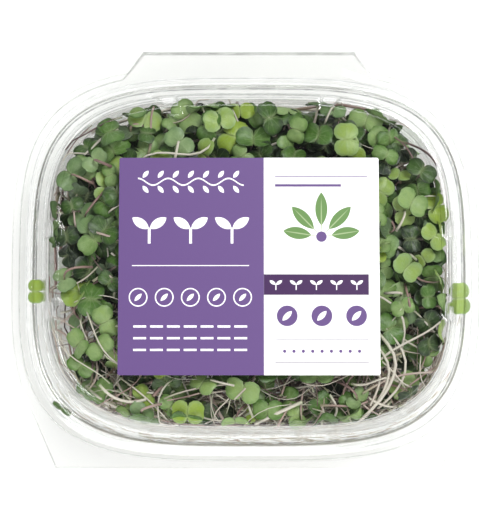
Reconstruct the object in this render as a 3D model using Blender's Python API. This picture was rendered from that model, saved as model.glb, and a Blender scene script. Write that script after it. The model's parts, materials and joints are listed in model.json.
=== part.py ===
"""A clear hinged tub filled with cut cabbage microgreens, closed, with a plain sticker on its lid.

Metres. The origin is on the surface under the middle of the tub's flat base. +Z is up, +X is to the right and
+Y points to the hinge. The tub and the lid are one thin sheet folded at a crease behind them. Each is its
own object here, and the lid turns about the crease. The greens lie loose: a tangle of cut stems at the
bottom, and on it bunches of sprouts, each a stalk with a pair of notched seed leaves.
"""

import math

import bmesh
import bpy
import numpy as np

# Plan of the tub and lid: half width and half depth of the outlines, and every ring's superellipse exponent
FLANGE_HALF = (0.0915, 0.0780)
LID_HALF = (0.0885, 0.0755)
ROUNDNESS = 3.5
PLAN_SIDES = 36
CORNER_APART = math.radians(3.2)

# Heights and the sheet's thickness
RIM_Z = 0.038
LID_RISE = 0.0140
PANEL_DROP = 0.0006
SHEET = 0.0006

# The crease that the lid turns on, the hinge flap in front of it on both tub and lid, and the tub's front lip
HINGE_Y = 0.0837
HINGE_Z = RIM_Z - 0.0014
HINGE_GAP = 0.00015
FLAP_CORNER = (0.0415, HINGE_Y - 2 * HINGE_GAP)
FLAP_ROOT = (0.0500, 0.0715)
LIP_CORNER = (0.0735, -0.0780)
LIP_ROOT = (0.0880, -0.0450)

# Sections, from the outer edge inwards: inset from the outline, and height of the sheet's upper face.
# The first two rings follow the flaps and the lip. The tub's inner wall starts at its ring WALL_RING.
TUB_SECTION = (
    (0.0000, RIM_Z - 0.0035),
    (0.0000, RIM_Z - 0.0020),
    (0.0062, RIM_Z - 0.0020),
    (0.0076, RIM_Z + 0.0010),
    (0.0088, RIM_Z + 0.0010),
    (0.0100, RIM_Z - 0.0008),
    (0.0128, RIM_Z - 0.0008),
    (0.0140, RIM_Z - 0.0025),
    (0.0225, 0.0050),
    (0.0250, 0.0016),
    (0.0285, SHEET),
)
WALL_RING = 7
LID_SECTION = (
    (0.0000, HINGE_Z + HINGE_GAP),
    (0.0002, RIM_Z + 0.0006),
    (0.0030, RIM_Z + 0.0006),
    (0.0040, RIM_Z + 0.0030),
    (0.0062, RIM_Z + 0.0030),
    (0.0074, RIM_Z + 0.0006),
    (0.0092, RIM_Z + 0.0006),
    (0.0112, RIM_Z + 0.0115),
    (0.0135, RIM_Z + LID_RISE),
    (0.0165, RIM_Z + LID_RISE),
    (0.0175, RIM_Z + LID_RISE - PANEL_DROP),
)

# Sticker on the lid's panel, a little towards the front
LABEL_SIZE = (0.0982, 0.0825)
LABEL_MIDDLE_Y = -0.0026
LABEL_THICK = 0.0003
LABEL_CORNER = 0.0010
REST_GAP = 0.0003

# The space that the greens fill: wall clearance, the highest leaf, and the lid's inner half widths
WALL_CLEAR = 0.0010
HEADROOM_Z = RIM_Z + LID_RISE - PANEL_DROP - 2 * SHEET
DOME_HALF = (0.0765, 0.0635)

# The stem tangle: heights of its rings, each with its share of the tub's inner width there, and its lumps
TANGLE_SIDES = 28
TANGLE_SHARE = 0.955
TANGLE_RINGS = (
    (0.0012, 0.86),
    (0.0030, TANGLE_SHARE),
    (0.0160, TANGLE_SHARE),
    (0.0270, TANGLE_SHARE),
    (0.0315, 0.86),
)
TANGLE_TOP_Z = 0.0335
TANGLE_LUMP = 0.0011
LOOSE_STEMS = 22
LOOSE_STEM_TURN = (0.35, 0.55)
LOOSE_STEM_Z = (0.006, 0.026)
STEM_RADIUS = 0.0008

# Sprout bunches: columns and rows of them, how far their middles spread, and a bunch's inner mass
BUNCH_COLUMNS = 4
BUNCH_ROWS = 3
BUNCH_SPREAD = (0.0700, 0.0570)
BUNCH_CORE = (0.0145, 0.0160, 0.0032)
CORE_LUMP = 0.06
CORE_DEPTH = 0.0075
CORE_CLEAR = 0.0012

# The heap's top, and the places of the sprouts in plan: a staggered grid, shifted at random
CANOPY_Z = 0.0465
CANOPY_EDGE_DROP = 0.0060
SITE_STEP = (0.0125, 0.0108)
SITE_SPREAD = (0.0710, 0.0580)
SITE_SHIFT = 0.0015
LEVELS = (-0.0032, -0.0006, 0.0016)
LEVEL_SHIFT = 0.0012

# A sprout: reach of its leaf pair from the stalk, how the lobes rise and droop, and how far it leans
LEAF_REACH = (0.0084, 0.0104)
LEAF_RISE = (0.05, 0.35)
LEAF_DROOP = (0.25, 0.45)
LEAF_LEAN = (0.05, 0.40)
LEAF_THICK = 0.0008
LEAF_POINTS = 16
STALK_RADIUS = 0.0007
ROOT_SHARE = 0.55
ELBOW_SHARE = 0.18

# Clearances between sampled points, which keep the surfaces apart, and the tries at each place
BETWEEN_BUNCHES = 0.0021
BETWEEN_LEAVES = 0.0017
TRIES = 50
SEED = 11


def clear_scene():
    for obj in list(bpy.data.objects):
        bpy.data.objects.remove(obj, do_unlink=True)


def finish(name, colour, roughness, alpha=1.0):
    """A Principled material. The colour is linear RGB."""
    made = bpy.data.materials.new(name)
    made.use_nodes = True
    shader = made.node_tree.nodes["Principled BSDF"]
    shader.inputs["Base Color"].default_value = (*colour, 1.0)
    shader.inputs["Roughness"].default_value = roughness
    shader.inputs["Metallic"].default_value = 0.0
    shader.inputs["Alpha"].default_value = alpha
    return made


def solid(name, points, faces, surface):
    """A linked mesh object from points and faces."""
    mesh = bpy.data.meshes.new(name)
    mesh.from_pydata([tuple(map(float, p)) for p in points], [], [tuple(map(int, f)) for f in faces])
    mesh.materials.append(surface)
    obj = bpy.data.objects.new(name, mesh)
    bpy.context.scene.collection.objects.link(obj)
    return obj


def smooth(obj, sharp_over_deg):
    obj.data.shade_smooth()
    obj.data.set_sharp_from_angle(angle=math.radians(sharp_over_deg))


# Plan outlines


def ring_radius(angle, half):
    """Distance from the middle to a superellipse of these half widths, along the angle."""
    across = (np.abs(np.cos(angle) / half[0])) ** ROUNDNESS
    along = (np.abs(np.sin(angle) / half[1])) ** ROUNDNESS
    return (across + along) ** (-1 / ROUNDNESS)


def ray_to_segment(angle, start, end):
    """Distance from the middle to the segment along the angle, or 0 where the ray misses it."""
    direction = np.array((math.cos(angle), math.sin(angle)))
    edge = np.subtract(end, start)
    turn = direction[0] * edge[1] - direction[1] * edge[0]
    if abs(turn) < 1e-12:
        return 0.0
    distance = (start[0] * edge[1] - start[1] * edge[0]) / turn
    share = (start[0] * direction[1] - start[1] * direction[0]) / turn
    return distance if distance > 0 and -1e-9 <= share <= 1 + 1e-9 else 0.0


def tab_edges(corner, root):
    """The three straight edges of a tab that is the same on both sides of the Y axis."""
    mirrored_corner, mirrored_root = (-corner[0], corner[1]), (-root[0], root[1])
    return ((root, corner), (corner, mirrored_corner), (mirrored_corner, mirrored_root))


LIP = tab_edges(LIP_CORNER, LIP_ROOT)
FLAP = tab_edges(FLAP_CORNER, FLAP_ROOT)


def edge_radius(angle, half, edges):
    """Outline of a flange with tabs: the farther of the superellipse and the tabs' edges."""
    return max(ring_radius(angle, half), *(ray_to_segment(angle, a, b) for a, b in edges))


def plan_angles():
    """Angles of the rings' points: close together at the round corners, and one at each corner of a tab."""
    turn = np.arange(PLAN_SIDES) * 2 * math.pi / PLAN_SIDES
    power = 2 / ROUNDNESS
    across = np.sign(np.cos(turn)) * np.abs(np.cos(turn)) ** power * FLANGE_HALF[0]
    along = np.sign(np.sin(turn)) * np.abs(np.sin(turn)) ** power * FLANGE_HALF[1]
    corners = [math.atan2(y, side * x) for x, y in (LIP_CORNER, FLAP_CORNER) for side in (1, -1)]
    kept = [a for a in np.arctan2(along, across) if all(abs(a - c) > CORNER_APART for c in corners)]
    return np.array(sorted(kept + corners))


# Tub, lid and sticker


def formed_sheet(name, section, half, edges, surface):
    """A thermoformed sheet: rings lofted from the edge inwards round a flat panel, then thickened."""
    angles = plan_angles()
    count = len(angles)
    points, faces = [], []
    for number, (inset, height) in enumerate(section):
        ring_half = (half[0] - inset, half[1] - inset)
        for angle in angles:
            radius = edge_radius(angle, ring_half, edges) if number < 2 else ring_radius(angle, ring_half)
            points.append((radius * math.cos(angle), radius * math.sin(angle), height))
    for ring in range(len(section) - 1):
        for i in range(count):
            j = (i + 1) % count
            outer, inner = ring * count, (ring + 1) * count
            faces.append((outer + i, outer + j, inner + j, inner + i))
    last = (len(section) - 1) * count
    faces.append(tuple(range(last, last + count)))
    obj = solid(name, points, faces, surface)
    thicken = obj.modifiers.new("thickness", "SOLIDIFY")
    thicken.thickness = SHEET
    thicken.offset = -1.0
    thicken.use_even_offset = True
    smooth(obj, 30)
    return obj


def box(name, low, high, surface):
    corners = [(x, y, z) for z in (low[2], high[2]) for y in (low[1], high[1]) for x in (low[0], high[0])]
    faces = ((0, 2, 3, 1), (4, 5, 7, 6), (0, 1, 5, 4), (2, 6, 7, 3), (0, 4, 6, 2), (1, 3, 7, 5))
    return solid(name, corners, faces, surface)


def make_tub(surface):
    """The tub, with a rail along the crease, where the flap's edge turns up to meet the lid's."""
    tub = formed_sheet("tub", TUB_SECTION, FLANGE_HALF, LIP + FLAP, surface)
    reach_x = FLAP_CORNER[0] - SHEET
    flange_z = TUB_SECTION[1][1]
    rail = box(
        "crease_rail",
        (-reach_x, FLAP_CORNER[1] - 1.5 * SHEET, flange_z - SHEET / 2),
        (reach_x, FLAP_CORNER[1] - SHEET / 6, HINGE_Z - HINGE_GAP),
        surface,
    )
    rail.hide_render = True
    rail.display_type = "WIRE"
    join = tub.modifiers.new("crease", "BOOLEAN")
    join.operation = "UNION"
    join.object = rail
    return tub


def make_label(surface):
    """A sticker with round corners, on the lid's flat panel."""
    half_x, half_y = LABEL_SIZE[0] / 2, LABEL_SIZE[1] / 2
    bottom = RIM_Z + LID_RISE - PANEL_DROP + REST_GAP
    low = (-half_x, LABEL_MIDDLE_Y - half_y, bottom)
    high = (half_x, LABEL_MIDDLE_Y + half_y, bottom + LABEL_THICK)
    label = box("label", low, high, surface)
    bm = bmesh.new()
    bm.from_mesh(label.data)
    upright = [e for e in bm.edges if abs(e.verts[0].co.z - e.verts[1].co.z) > LABEL_THICK / 2]
    bmesh.ops.bevel(bm, geom=upright, offset=LABEL_CORNER, segments=3, profile=0.5, affect="EDGES")
    bm.to_mesh(label.data)
    bm.free()
    return label


def hang_on_hinge(pieces):
    """Parents the moving pieces to an empty on the crease, where they stay in place."""
    axis = bpy.data.objects.new("hinge_axis", None)
    axis.location = (0.0, HINGE_Y, HINGE_Z)
    bpy.context.scene.collection.objects.link(axis)
    for piece in pieces:
        piece.parent = axis
        piece.location = -axis.location


# The space for the greens


def space_half(height):
    """Half widths of the space inside the closed tub at a height, less the wall clearance."""
    wall = TUB_SECTION[:WALL_RING - 1:-1]
    inset = np.interp(height, [z for _, z in wall], [inset for inset, _ in wall])
    below = [half - inset - WALL_CLEAR for half in FLANGE_HALF]
    above = [half - WALL_CLEAR for half in DOME_HALF]
    return [np.where(np.asarray(height) < RIM_Z, b, a) for b, a in zip(below, above)]


def all_inside(points):
    """True if every point is clear of the tub's walls and of the lid."""
    half_x, half_y = space_half(points[:, 2])
    share = np.abs(points[:, 0] / half_x) ** ROUNDNESS + np.abs(points[:, 1] / half_y) ** ROUNDNESS
    return bool((share < 1).all() and (points[:, 2] < HEADROOM_Z).all())


def canopy_height(x, y):
    """The heap is highest in the middle and falls to the walls, more so at the front."""
    edge = abs(x / DOME_HALF[0]) ** 4 + abs(y / DOME_HALF[1]) ** 4
    front = max(0.0, -y / DOME_HALF[1]) ** 2
    return CANOPY_Z - CANOPY_EDGE_DROP * (min(1.0, edge) + front / 4)


# Sprouts


def tube(path, radius, sides):
    """Points and faces of a closed tube along a path, with flat caps."""
    path = np.asarray(path, float)
    ahead = np.gradient(path, axis=0)
    ahead /= np.linalg.norm(ahead, axis=1)[:, None]
    reference = np.eye(3)[np.argmin(np.abs(ahead.mean(0)))]
    across = np.cross(ahead, reference)
    across /= np.linalg.norm(across, axis=1)[:, None]
    up = np.cross(ahead, across)
    turn = np.arange(sides) * 2 * math.pi / sides
    rings = path[:, None] + radius * (
        np.cos(turn)[None, :, None] * across[:, None] + np.sin(turn)[None, :, None] * up[:, None]
    )
    faces = []
    for ring in range(len(path) - 1):
        for i in range(sides):
            j = (i + 1) % sides
            low, high = ring * sides, (ring + 1) * sides
            faces.append((low + i, low + j, high + j, high + i))
    last = (len(path) - 1) * sides
    faces.append(tuple(reversed(range(sides))))
    faces.append(tuple(range(last, last + sides)))
    return rings.reshape(-1, 3), faces


def leaf_outline(share=1.0):
    """Outline of a pair of seed leaves about its stalk: two round lobes, a waist, and a notch in each tip."""
    turn = np.arange(LEAF_POINTS) * 2 * math.pi / LEAF_POINTS
    lobe = 0.27 + 0.73 * np.abs(np.cos(turn)) ** 1.15
    from_tip = np.minimum(turn % math.pi, math.pi - turn % math.pi)
    notch = 1 - 0.14 * np.exp(-((from_tip / 0.22) ** 2))
    radius = share * lobe * notch
    return np.stack([radius * np.cos(turn), radius * np.sin(turn)], axis=1)


def leaf_lift(plan, rise, droop):
    """Height of the blade: its lobes rise from the stalk, droop at the tips and cup up at the sides."""
    along, across = np.abs(plan[:, 0]), plan[:, 1]
    return rise * along - droop * along**2 + 0.30 * across**2


def leaf_pair(reach, rise, droop):
    """Points and faces of the blade, closed, with the stalk at the origin and the lobes along X."""
    lobe_middles = [(0.52, 0.0), (-0.52, 0.0)]
    plan = np.vstack([leaf_outline(), lobe_middles])
    top = reach * np.column_stack([plan, leaf_lift(plan, rise, droop)])
    under = top - (0, 0, LEAF_THICK)
    count, quarter = LEAF_POINTS, LEAF_POINTS // 4
    offset = count + 2
    faces = []
    for middle, first in ((count, -quarter), (count + 1, quarter)):
        lobe = [(first + i) % count for i in range(2 * quarter + 1)]
        for a, b in zip(lobe, lobe[1:] + lobe[:1]):
            faces.append((middle, a, b))
            faces.append((middle + offset, b + offset, a + offset))
    for i in range(count):
        j = (i + 1) % count
        faces.append((i, i + offset, j + offset, j))
    return np.vstack([top, under]), faces


def test_points(reach, rise, droop):
    """Points all over the blade, for the test that it is clear of its neighbours."""
    plan = np.vstack([leaf_outline(share) for share in (0.3, 0.65, 1.0)])
    return reach * np.column_stack([plan, leaf_lift(plan, rise, droop)])


def turned(points, heading, lean, lean_way):
    """Points turned by heading about Z, then leant by lean towards the compass direction lean_way."""
    c, s = math.cos(heading), math.sin(heading)
    spun = points @ np.array([[c, s, 0], [-s, c, 0], [0, 0, 1]])
    axis = np.array((-math.sin(lean_way), math.cos(lean_way), 0.0))
    along = (spun @ axis)[:, None] * axis
    return spun * math.cos(lean) + np.cross(axis, spun) * math.sin(lean) + along * (1 - math.cos(lean))


def bunch_centres():
    """Middles of the bunches: rows across the tub, drawn in at the round corners."""
    for row in range(BUNCH_ROWS):
        for column in range(BUNCH_COLUMNS):
            u = (2 * column + 1) / BUNCH_COLUMNS - 1
            v = (2 * row + 1) / BUNCH_ROWS - 1
            x = BUNCH_SPREAD[0] * u * (1 - 0.10 * v * v)
            y = BUNCH_SPREAD[1] * v * (1 - 0.08 * u * u)
            yield np.array((x, y, canopy_height(x, y) - CORE_DEPTH))


def leaf_sites(rng):
    """Places of the sprouts in plan, each with its level: a staggered grid inside a superellipse."""
    rows = int(SITE_SPREAD[1] / SITE_STEP[1])
    columns = int(SITE_SPREAD[0] / SITE_STEP[0]) + 1
    for row in range(-rows, rows + 1):
        for column in range(-columns, columns + 1):
            spot = np.array(((column + 0.5 * (row % 2)) * SITE_STEP[0], row * SITE_STEP[1]))
            spot += rng.uniform(-SITE_SHIFT, SITE_SHIFT, 2)
            if (np.abs(spot / SITE_SPREAD) ** ROUNDNESS).sum() < 1:
                yield spot, LEVELS[(column + 2 * row) % len(LEVELS)]


def apart(points, others, least):
    """True if the points are at least this far from each of the other sets of points."""
    return all(np.linalg.norm(points[:, None] - other[None], axis=2).min() > least for other in others)


def clear_of_cores(points, cores):
    """True if the points keep off the inner masses of other bunches."""
    reach = np.array(BUNCH_CORE) + CORE_CLEAR
    return all((np.linalg.norm((points - core) / reach, axis=1) > 1).all() for core in cores)


def sprout_at(spot, level, centre, ease, rng):
    """One sprout: the shape, turn and place of its blade, and its stalk's path down to its bunch.

    Ease runs from 0 to 1 and draws the blade in, for the later tries at a crowded place.
    """
    reach = rng.uniform(*LEAF_REACH) * (1 - 0.2 * ease)
    shape = (reach, rng.uniform(*LEAF_RISE), rng.uniform(*LEAF_DROOP))
    outwards = math.atan2(spot[1], spot[0]) + rng.uniform(-0.9, 0.9)
    turn = (rng.uniform(0, math.pi), rng.uniform(*LEAF_LEAN), outwards)
    shift = LEVEL_SHIFT * (1 + 2 * ease)
    height = canopy_height(*spot) + level + rng.uniform(-shift, shift)
    place = np.array((*spot, height))
    root = centre + (place - centre) * (ROOT_SHARE, ROOT_SHARE, 0.0)
    elbow = (root + place) / 2 + ELBOW_SHARE * (place - root) * (1, 1, 0)
    stalk = np.array([root, elbow, place - (0, 0, LEAF_THICK / 2)])
    return shape, turn, place, stalk


def grow_sprouts():
    """For each bunch, its middle and its sprouts.

    A sprout grows at each site, from the nearest bunch, tried at random turns until it is clear of the rest.
    """
    rng = np.random.default_rng(SEED)
    centres = list(bunch_centres())
    bunches = [[] for _ in centres]
    blades = [[] for _ in centres]
    whole = [[] for _ in centres]
    for spot, level in leaf_sites(rng):
        number = int(np.argmin([np.linalg.norm(centre[:2] - spot) for centre in centres]))
        others = [p for k, group in enumerate(whole) for p in group if k != number]
        cores = [c for k, c in enumerate(centres) if k != number]
        for attempt in range(TRIES):
            sprout = sprout_at(spot, level, centres[number], attempt / TRIES, rng)
            shape, turn, place, stalk = sprout
            blade = turned(test_points(*shape), *turn) + place
            points = np.vstack([blade, stalk, (stalk[1:] + stalk[:-1]) / 2])
            if not all_inside(blade) or not clear_of_cores(points, cores):
                continue
            if apart(points, others, BETWEEN_BUNCHES) and apart(blade, blades[number], BETWEEN_LEAVES):
                bunches[number].append(sprout)
                blades[number].append(blade)
                whole[number].append(points)
                break
    return list(zip(centres, bunches))


# Fusing


def lumpy_mass(name, centre, half, surface):
    """A bunch's inner mass: a low ball pressed flat, which the stalks and leaves stand out of."""
    bm = bmesh.new()
    bmesh.ops.create_icosphere(bm, subdivisions=2, radius=1.0)
    for vert in bm.verts:
        wave = math.sin(5 * vert.co.x + 40 * centre[0]) * math.cos(4 * vert.co.y + 60 * centre[1])
        vert.co = [c + h * (1 + CORE_LUMP * wave) * v for c, h, v in zip(centre, half, vert.co)]
    mesh = bpy.data.meshes.new(name)
    bm.to_mesh(mesh)
    bm.free()
    mesh.materials.append(surface)
    obj = bpy.data.objects.new(name, mesh)
    bpy.context.scene.collection.objects.link(obj)
    return obj


def keep_largest_island(mesh):
    """Drops loose scraps, and the walls of any hollow that the fusing sealed."""
    bm = bmesh.new()
    bm.from_mesh(mesh)
    left, islands = set(bm.verts), []
    while left:
        island, edge = set(), [left.pop()]
        while edge:
            vert = edge.pop()
            island.add(vert)
            near = {e.other_vert(vert) for e in vert.link_edges} & left
            left -= near
            edge.extend(near)
        islands.append(island)
    islands.sort(key=len)
    scraps = [v for island in islands[:-1] for v in island]
    bmesh.ops.delete(bm, geom=scraps, context="VERTS")
    bm.to_mesh(mesh)
    bm.free()


def fuse(base, repeats, surface):
    """One Boolean union of the repeats with what they grow from, applied, with the repeats then removed."""
    group = bpy.data.collections.new(base.name + "_repeats")
    bpy.context.scene.collection.children.link(group)
    made = []
    for number, (points, faces) in enumerate(repeats):
        obj = solid(f"{base.name}_repeat_{number}", points, faces, surface)
        bpy.context.scene.collection.objects.unlink(obj)
        group.objects.link(obj)
        made.append(obj)
    join = base.modifiers.new("fuse", "BOOLEAN")
    join.operation = "UNION"
    join.operand_type = "COLLECTION"
    join.collection = group
    join.solver = "MANIFOLD"
    graph = bpy.context.evaluated_depsgraph_get()
    fused = bpy.data.meshes.new_from_object(base.evaluated_get(graph))
    base.modifiers.clear()
    base.data = fused
    for obj in made:
        bpy.data.objects.remove(obj, do_unlink=True)
    bpy.data.collections.remove(group)
    keep_largest_island(fused)
    smooth(base, 40)
    return base


def make_bunches(surface):
    for number, (centre, sprouts) in enumerate(grow_sprouts(), 1):
        mass = lumpy_mass(f"sprouts_{number:02d}", centre, BUNCH_CORE, surface)
        repeats = []
        for shape, turn, place, stalk in sprouts:
            points, faces = leaf_pair(*shape)
            repeats.append((turned(points, *turn) + place, faces))
            repeats.append(tube(stalk, STALK_RADIUS, 3))
        fuse(mass, repeats, surface)


# Stem tangle


def tangle_radius(angle, height, share):
    """Radius of the tangle at a height: a share of the tub's inner width, with lumps raised by a formula."""
    lump = math.sin(7 * angle + 300 * height) + math.sin(11 * angle - 500 * height)
    return share * ring_radius(angle, [float(h) for h in space_half(height)]) - TANGLE_LUMP * (1 + lump / 2)


def make_tangle(surface):
    """The mass of cut stems in the tub's bottom, with single stems lying half sunk in its sides."""
    turn = np.arange(TANGLE_SIDES) * 2 * math.pi / TANGLE_SIDES
    points, faces = [], []
    for height, share in TANGLE_RINGS:
        for angle in turn:
            radius = tangle_radius(angle, height, share)
            points.append((radius * math.cos(angle), radius * math.sin(angle), height))
    for ring in range(len(TANGLE_RINGS) - 1):
        for i in range(TANGLE_SIDES):
            j = (i + 1) % TANGLE_SIDES
            low, high = ring * TANGLE_SIDES, (ring + 1) * TANGLE_SIDES
            faces.append((low + i, low + j, high + j, high + i))
    last = (len(TANGLE_RINGS) - 1) * TANGLE_SIDES
    points.append((0, 0, TANGLE_TOP_Z))
    for i in range(TANGLE_SIDES):
        faces.append((last + i, last + (i + 1) % TANGLE_SIDES, len(points) - 1))
    faces.append(tuple(reversed(range(TANGLE_SIDES))))
    tangle = solid("stem_tangle", points, faces, surface)
    rng = np.random.default_rng(SEED + 1)
    repeats = []
    for number in range(LOOSE_STEMS):
        middle = 2 * math.pi * number / LOOSE_STEMS
        angles = middle + rng.uniform(*LOOSE_STEM_TURN) * np.linspace(-0.5, 0.5, 4)
        heights = np.linspace(*rng.uniform(*LOOSE_STEM_Z, 2), 4)
        radii = [tangle_radius(a, z, TANGLE_SHARE) for a, z in zip(angles, heights)]
        path = [(r * math.cos(a), r * math.sin(a), z) for r, a, z in zip(radii, angles, heights)]
        repeats.append(tube(path, STEM_RADIUS, 4))
    return fuse(tangle, repeats, surface)


def main():
    clear_scene()
    clear_plastic = finish("clear plastic", (0.90, 0.93, 0.92), 0.08, alpha=0.25)
    sticker = finish("sticker paper", (0.24, 0.13, 0.40), 0.5)
    leaf_green = finish("leaf green", (0.12, 0.30, 0.05), 0.55)
    stem_pale = finish("cut stems", (0.45, 0.36, 0.30), 0.6)
    make_tub(clear_plastic)
    lid = formed_sheet("lid", LID_SECTION, LID_HALF, FLAP, clear_plastic)
    label = make_label(sticker)
    hang_on_hinge((lid, label))
    make_tangle(stem_pale)
    make_bunches(leaf_green)


main()
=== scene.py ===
"""Looks of the microgreens tray: a clear hinged tub of cut cabbage sprouts with a plain two-colour sticker.

The file is laid out as an add-on and is run as a script. Metres, +Z up, +Y to the hinge. Every surface is
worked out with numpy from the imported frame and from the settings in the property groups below.
"""

import json
import math
from functools import reduce

import bpy
import numpy as np
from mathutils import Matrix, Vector


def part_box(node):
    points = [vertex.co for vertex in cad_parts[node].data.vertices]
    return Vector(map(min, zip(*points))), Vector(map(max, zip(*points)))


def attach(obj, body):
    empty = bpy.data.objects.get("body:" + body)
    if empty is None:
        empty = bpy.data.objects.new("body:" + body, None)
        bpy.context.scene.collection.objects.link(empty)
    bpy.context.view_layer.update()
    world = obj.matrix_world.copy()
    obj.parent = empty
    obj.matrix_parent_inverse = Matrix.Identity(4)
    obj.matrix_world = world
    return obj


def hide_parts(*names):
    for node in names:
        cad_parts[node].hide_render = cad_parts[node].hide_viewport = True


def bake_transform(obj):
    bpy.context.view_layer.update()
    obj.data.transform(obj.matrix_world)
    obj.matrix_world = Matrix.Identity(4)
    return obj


bl_info = {
    "name": "Microgreens Tray",
    "version": (1, 0, 0),
    "blender": (4, 5, 0),
    "location": "3D View > Sidebar > Greens",
    "description": "Makes the clear tub, its lid and sticker, and the heap of sprouts inside",
    "category": "Object",
}

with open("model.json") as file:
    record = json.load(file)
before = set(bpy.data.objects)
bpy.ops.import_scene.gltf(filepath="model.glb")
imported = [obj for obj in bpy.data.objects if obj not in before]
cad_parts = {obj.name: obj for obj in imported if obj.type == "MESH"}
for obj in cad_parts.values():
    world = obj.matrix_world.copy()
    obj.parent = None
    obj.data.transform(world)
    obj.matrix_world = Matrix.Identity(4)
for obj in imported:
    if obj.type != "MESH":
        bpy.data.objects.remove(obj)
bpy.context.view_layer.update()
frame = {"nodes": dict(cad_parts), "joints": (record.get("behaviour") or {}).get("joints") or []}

# Sizes read from the frame
TUB_LOW, TUB_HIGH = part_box("tub")
LID_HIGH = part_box("lid")[1]
LABEL_LOW, LABEL_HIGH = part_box("label")
LABEL_MIDDLE = (LABEL_LOW + LABEL_HIGH) / 2
HINGE = Vector(frame["joints"][0]["pos_m"])
BUNCHES = sorted(name for name in frame["nodes"] if name.startswith("sprouts_"))
BUNCH_MIDDLES = np.array([np.mean([np.array(c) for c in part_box(name)], axis=0) for name in BUNCHES])

# Height of the flange and the lid's top, half widths of both outlines, and the power of their superellipses
RIM_Z = TUB_HIGH.z - 0.0010
LID_TOP = LID_HIGH.z
FLANGE_HALF = np.array((TUB_HIGH.x, 0.0780))
LID_HALF = np.array((LID_HIGH.x, 0.0755))
ROUNDNESS = 3.5
SHEET = 0.0005

# Straight-edged tabs: the outer corner, then where its slanted side leaves the outline
FLAP = ((0.0415, HINGE.y - 0.0003), (0.0500, 0.0715))
LIP = ((0.0735, TUB_LOW.y), (0.0880, -0.0450))


# Settings


def length(name, description, default, **limits):
    """A length property in metres."""
    return bpy.props.FloatProperty(
        name=name, description=description, default=default, subtype="DISTANCE", unit="LENGTH",
        precision=5, **limits
    )


def share(name, description, default):
    """A share from 0 to 1."""
    return bpy.props.FloatProperty(
        name=name, description=description, default=default, min=0.0, max=1.0, subtype="FACTOR"
    )


def colour(name, description, default):
    """A linear RGB colour property."""
    return bpy.props.FloatVectorProperty(
        name=name, description=description, default=default, size=3, min=0.0, max=1.0, subtype="COLOR"
    )


def count(name, description, default, low=1):
    """A whole number."""
    return bpy.props.IntProperty(name=name, description=description, default=default, min=low)


def brightness(name, description, default):
    """How bright a light is."""
    return bpy.props.FloatProperty(name=name, description=description, default=default, min=0.0)


class TubSettings(bpy.types.PropertyGroup):
    """The clear sheet that tub and lid are formed from."""

    sides: count("Sides", "Points round each ring of the tub and lid", 480, 24)
    sheet: length("Sheet", "Thickness of the clear sheet", SHEET, min=0.0001)
    clear_tint: colour("Clear tint", "Light that it lets through seen square on", (0.976, 0.979, 0.974))
    edge_tint: colour("Edge tint", "Light that it lets through seen edge on", (0.88, 0.895, 0.885))
    # The fold tint colours a painted dark line along each fold, which stands in for the light the fold bends
    # away
    fold_shade_tint: colour("Fold tint", "Light that it lets through along its sharpest folds", (0.26, 0.27, 0.27))
    gloss: share("Gloss roughness", "Roughness of the sheet's reflections", 0.06)


class GreensSettings(bpy.types.PropertyGroup):
    """The heap of sprouts and the stems below it."""

    seed: count("Seed", "Seed of every random draw", 5, 0)
    reach_low: length("Shortest lobe", "Least reach of a seed leaf from its stalk", 0.0048)
    reach_high: length("Longest lobe", "Greatest reach of a seed leaf from its stalk", 0.0076)
    leaf_thick: length("Leaf thickness", "Thickness of a seed leaf", 0.0003)
    stalk_radius: length("Stalk radius", "Radius of a stalk at its leaf", 0.00045)
    clearance: length("Clearance", "Least distance between sampled points of two sprouts", 0.0015)
    tangle_stems: count("Tangled stems", "Stems lying in the tub below the leaves", 420)
    fine_roots: count("Fine stems", "Thin dark curled stems among the others", 150)
    strewn_stems: count("Strewn stems", "Loose stems on and among the leaves", 600)
    ledge_stems: count("Ledge stems", "Stems caught on the tub's ledge under the lid", 260)
    leaf_dark: colour("Dark leaf", "The darkest leaves", (0.004, 0.016, 0.005))
    leaf_mid: colour("Middle leaf", "Most leaves", (0.074, 0.182, 0.020))
    leaf_pale: colour("Pale leaf", "Grey-green leaves with a bloom", (0.300, 0.440, 0.155))
    leaf_young: colour("Young leaf", "Yellow-green leaves", (0.300, 0.430, 0.036))
    stem_cream: colour("Cream stem", "The palest stems", (0.74, 0.69, 0.60))
    stem_pink: colour("Pink stem", "Tan and pink stems", (0.44, 0.29, 0.26))
    stem_dark: colour("Dark stem", "Purple-brown stems", (0.055, 0.028, 0.032))


class StickerSettings(bpy.types.PropertyGroup):
    """The sticker on the lid."""

    width: length("Width", "Width of the sticker", LABEL_HIGH.x - LABEL_LOW.x)
    depth: length("Depth", "Depth of the sticker", LABEL_HIGH.y - LABEL_LOW.y)
    split_x: length("Split", "Where the violet field meets the white one", 0.0056)
    field: colour("Field", "The violet field", (0.112, 0.061, 0.196))
    paper: colour("Paper", "The bare white field", (0.93, 0.93, 0.94))
    band: colour("Band", "The dark violet band", (0.042, 0.010, 0.070))
    leaf: colour("Printed leaf", "The printed green leaves", (0.115, 0.225, 0.065))
    rule: colour("Rule", "The thin grey lines", (0.20, 0.18, 0.22))


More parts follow.
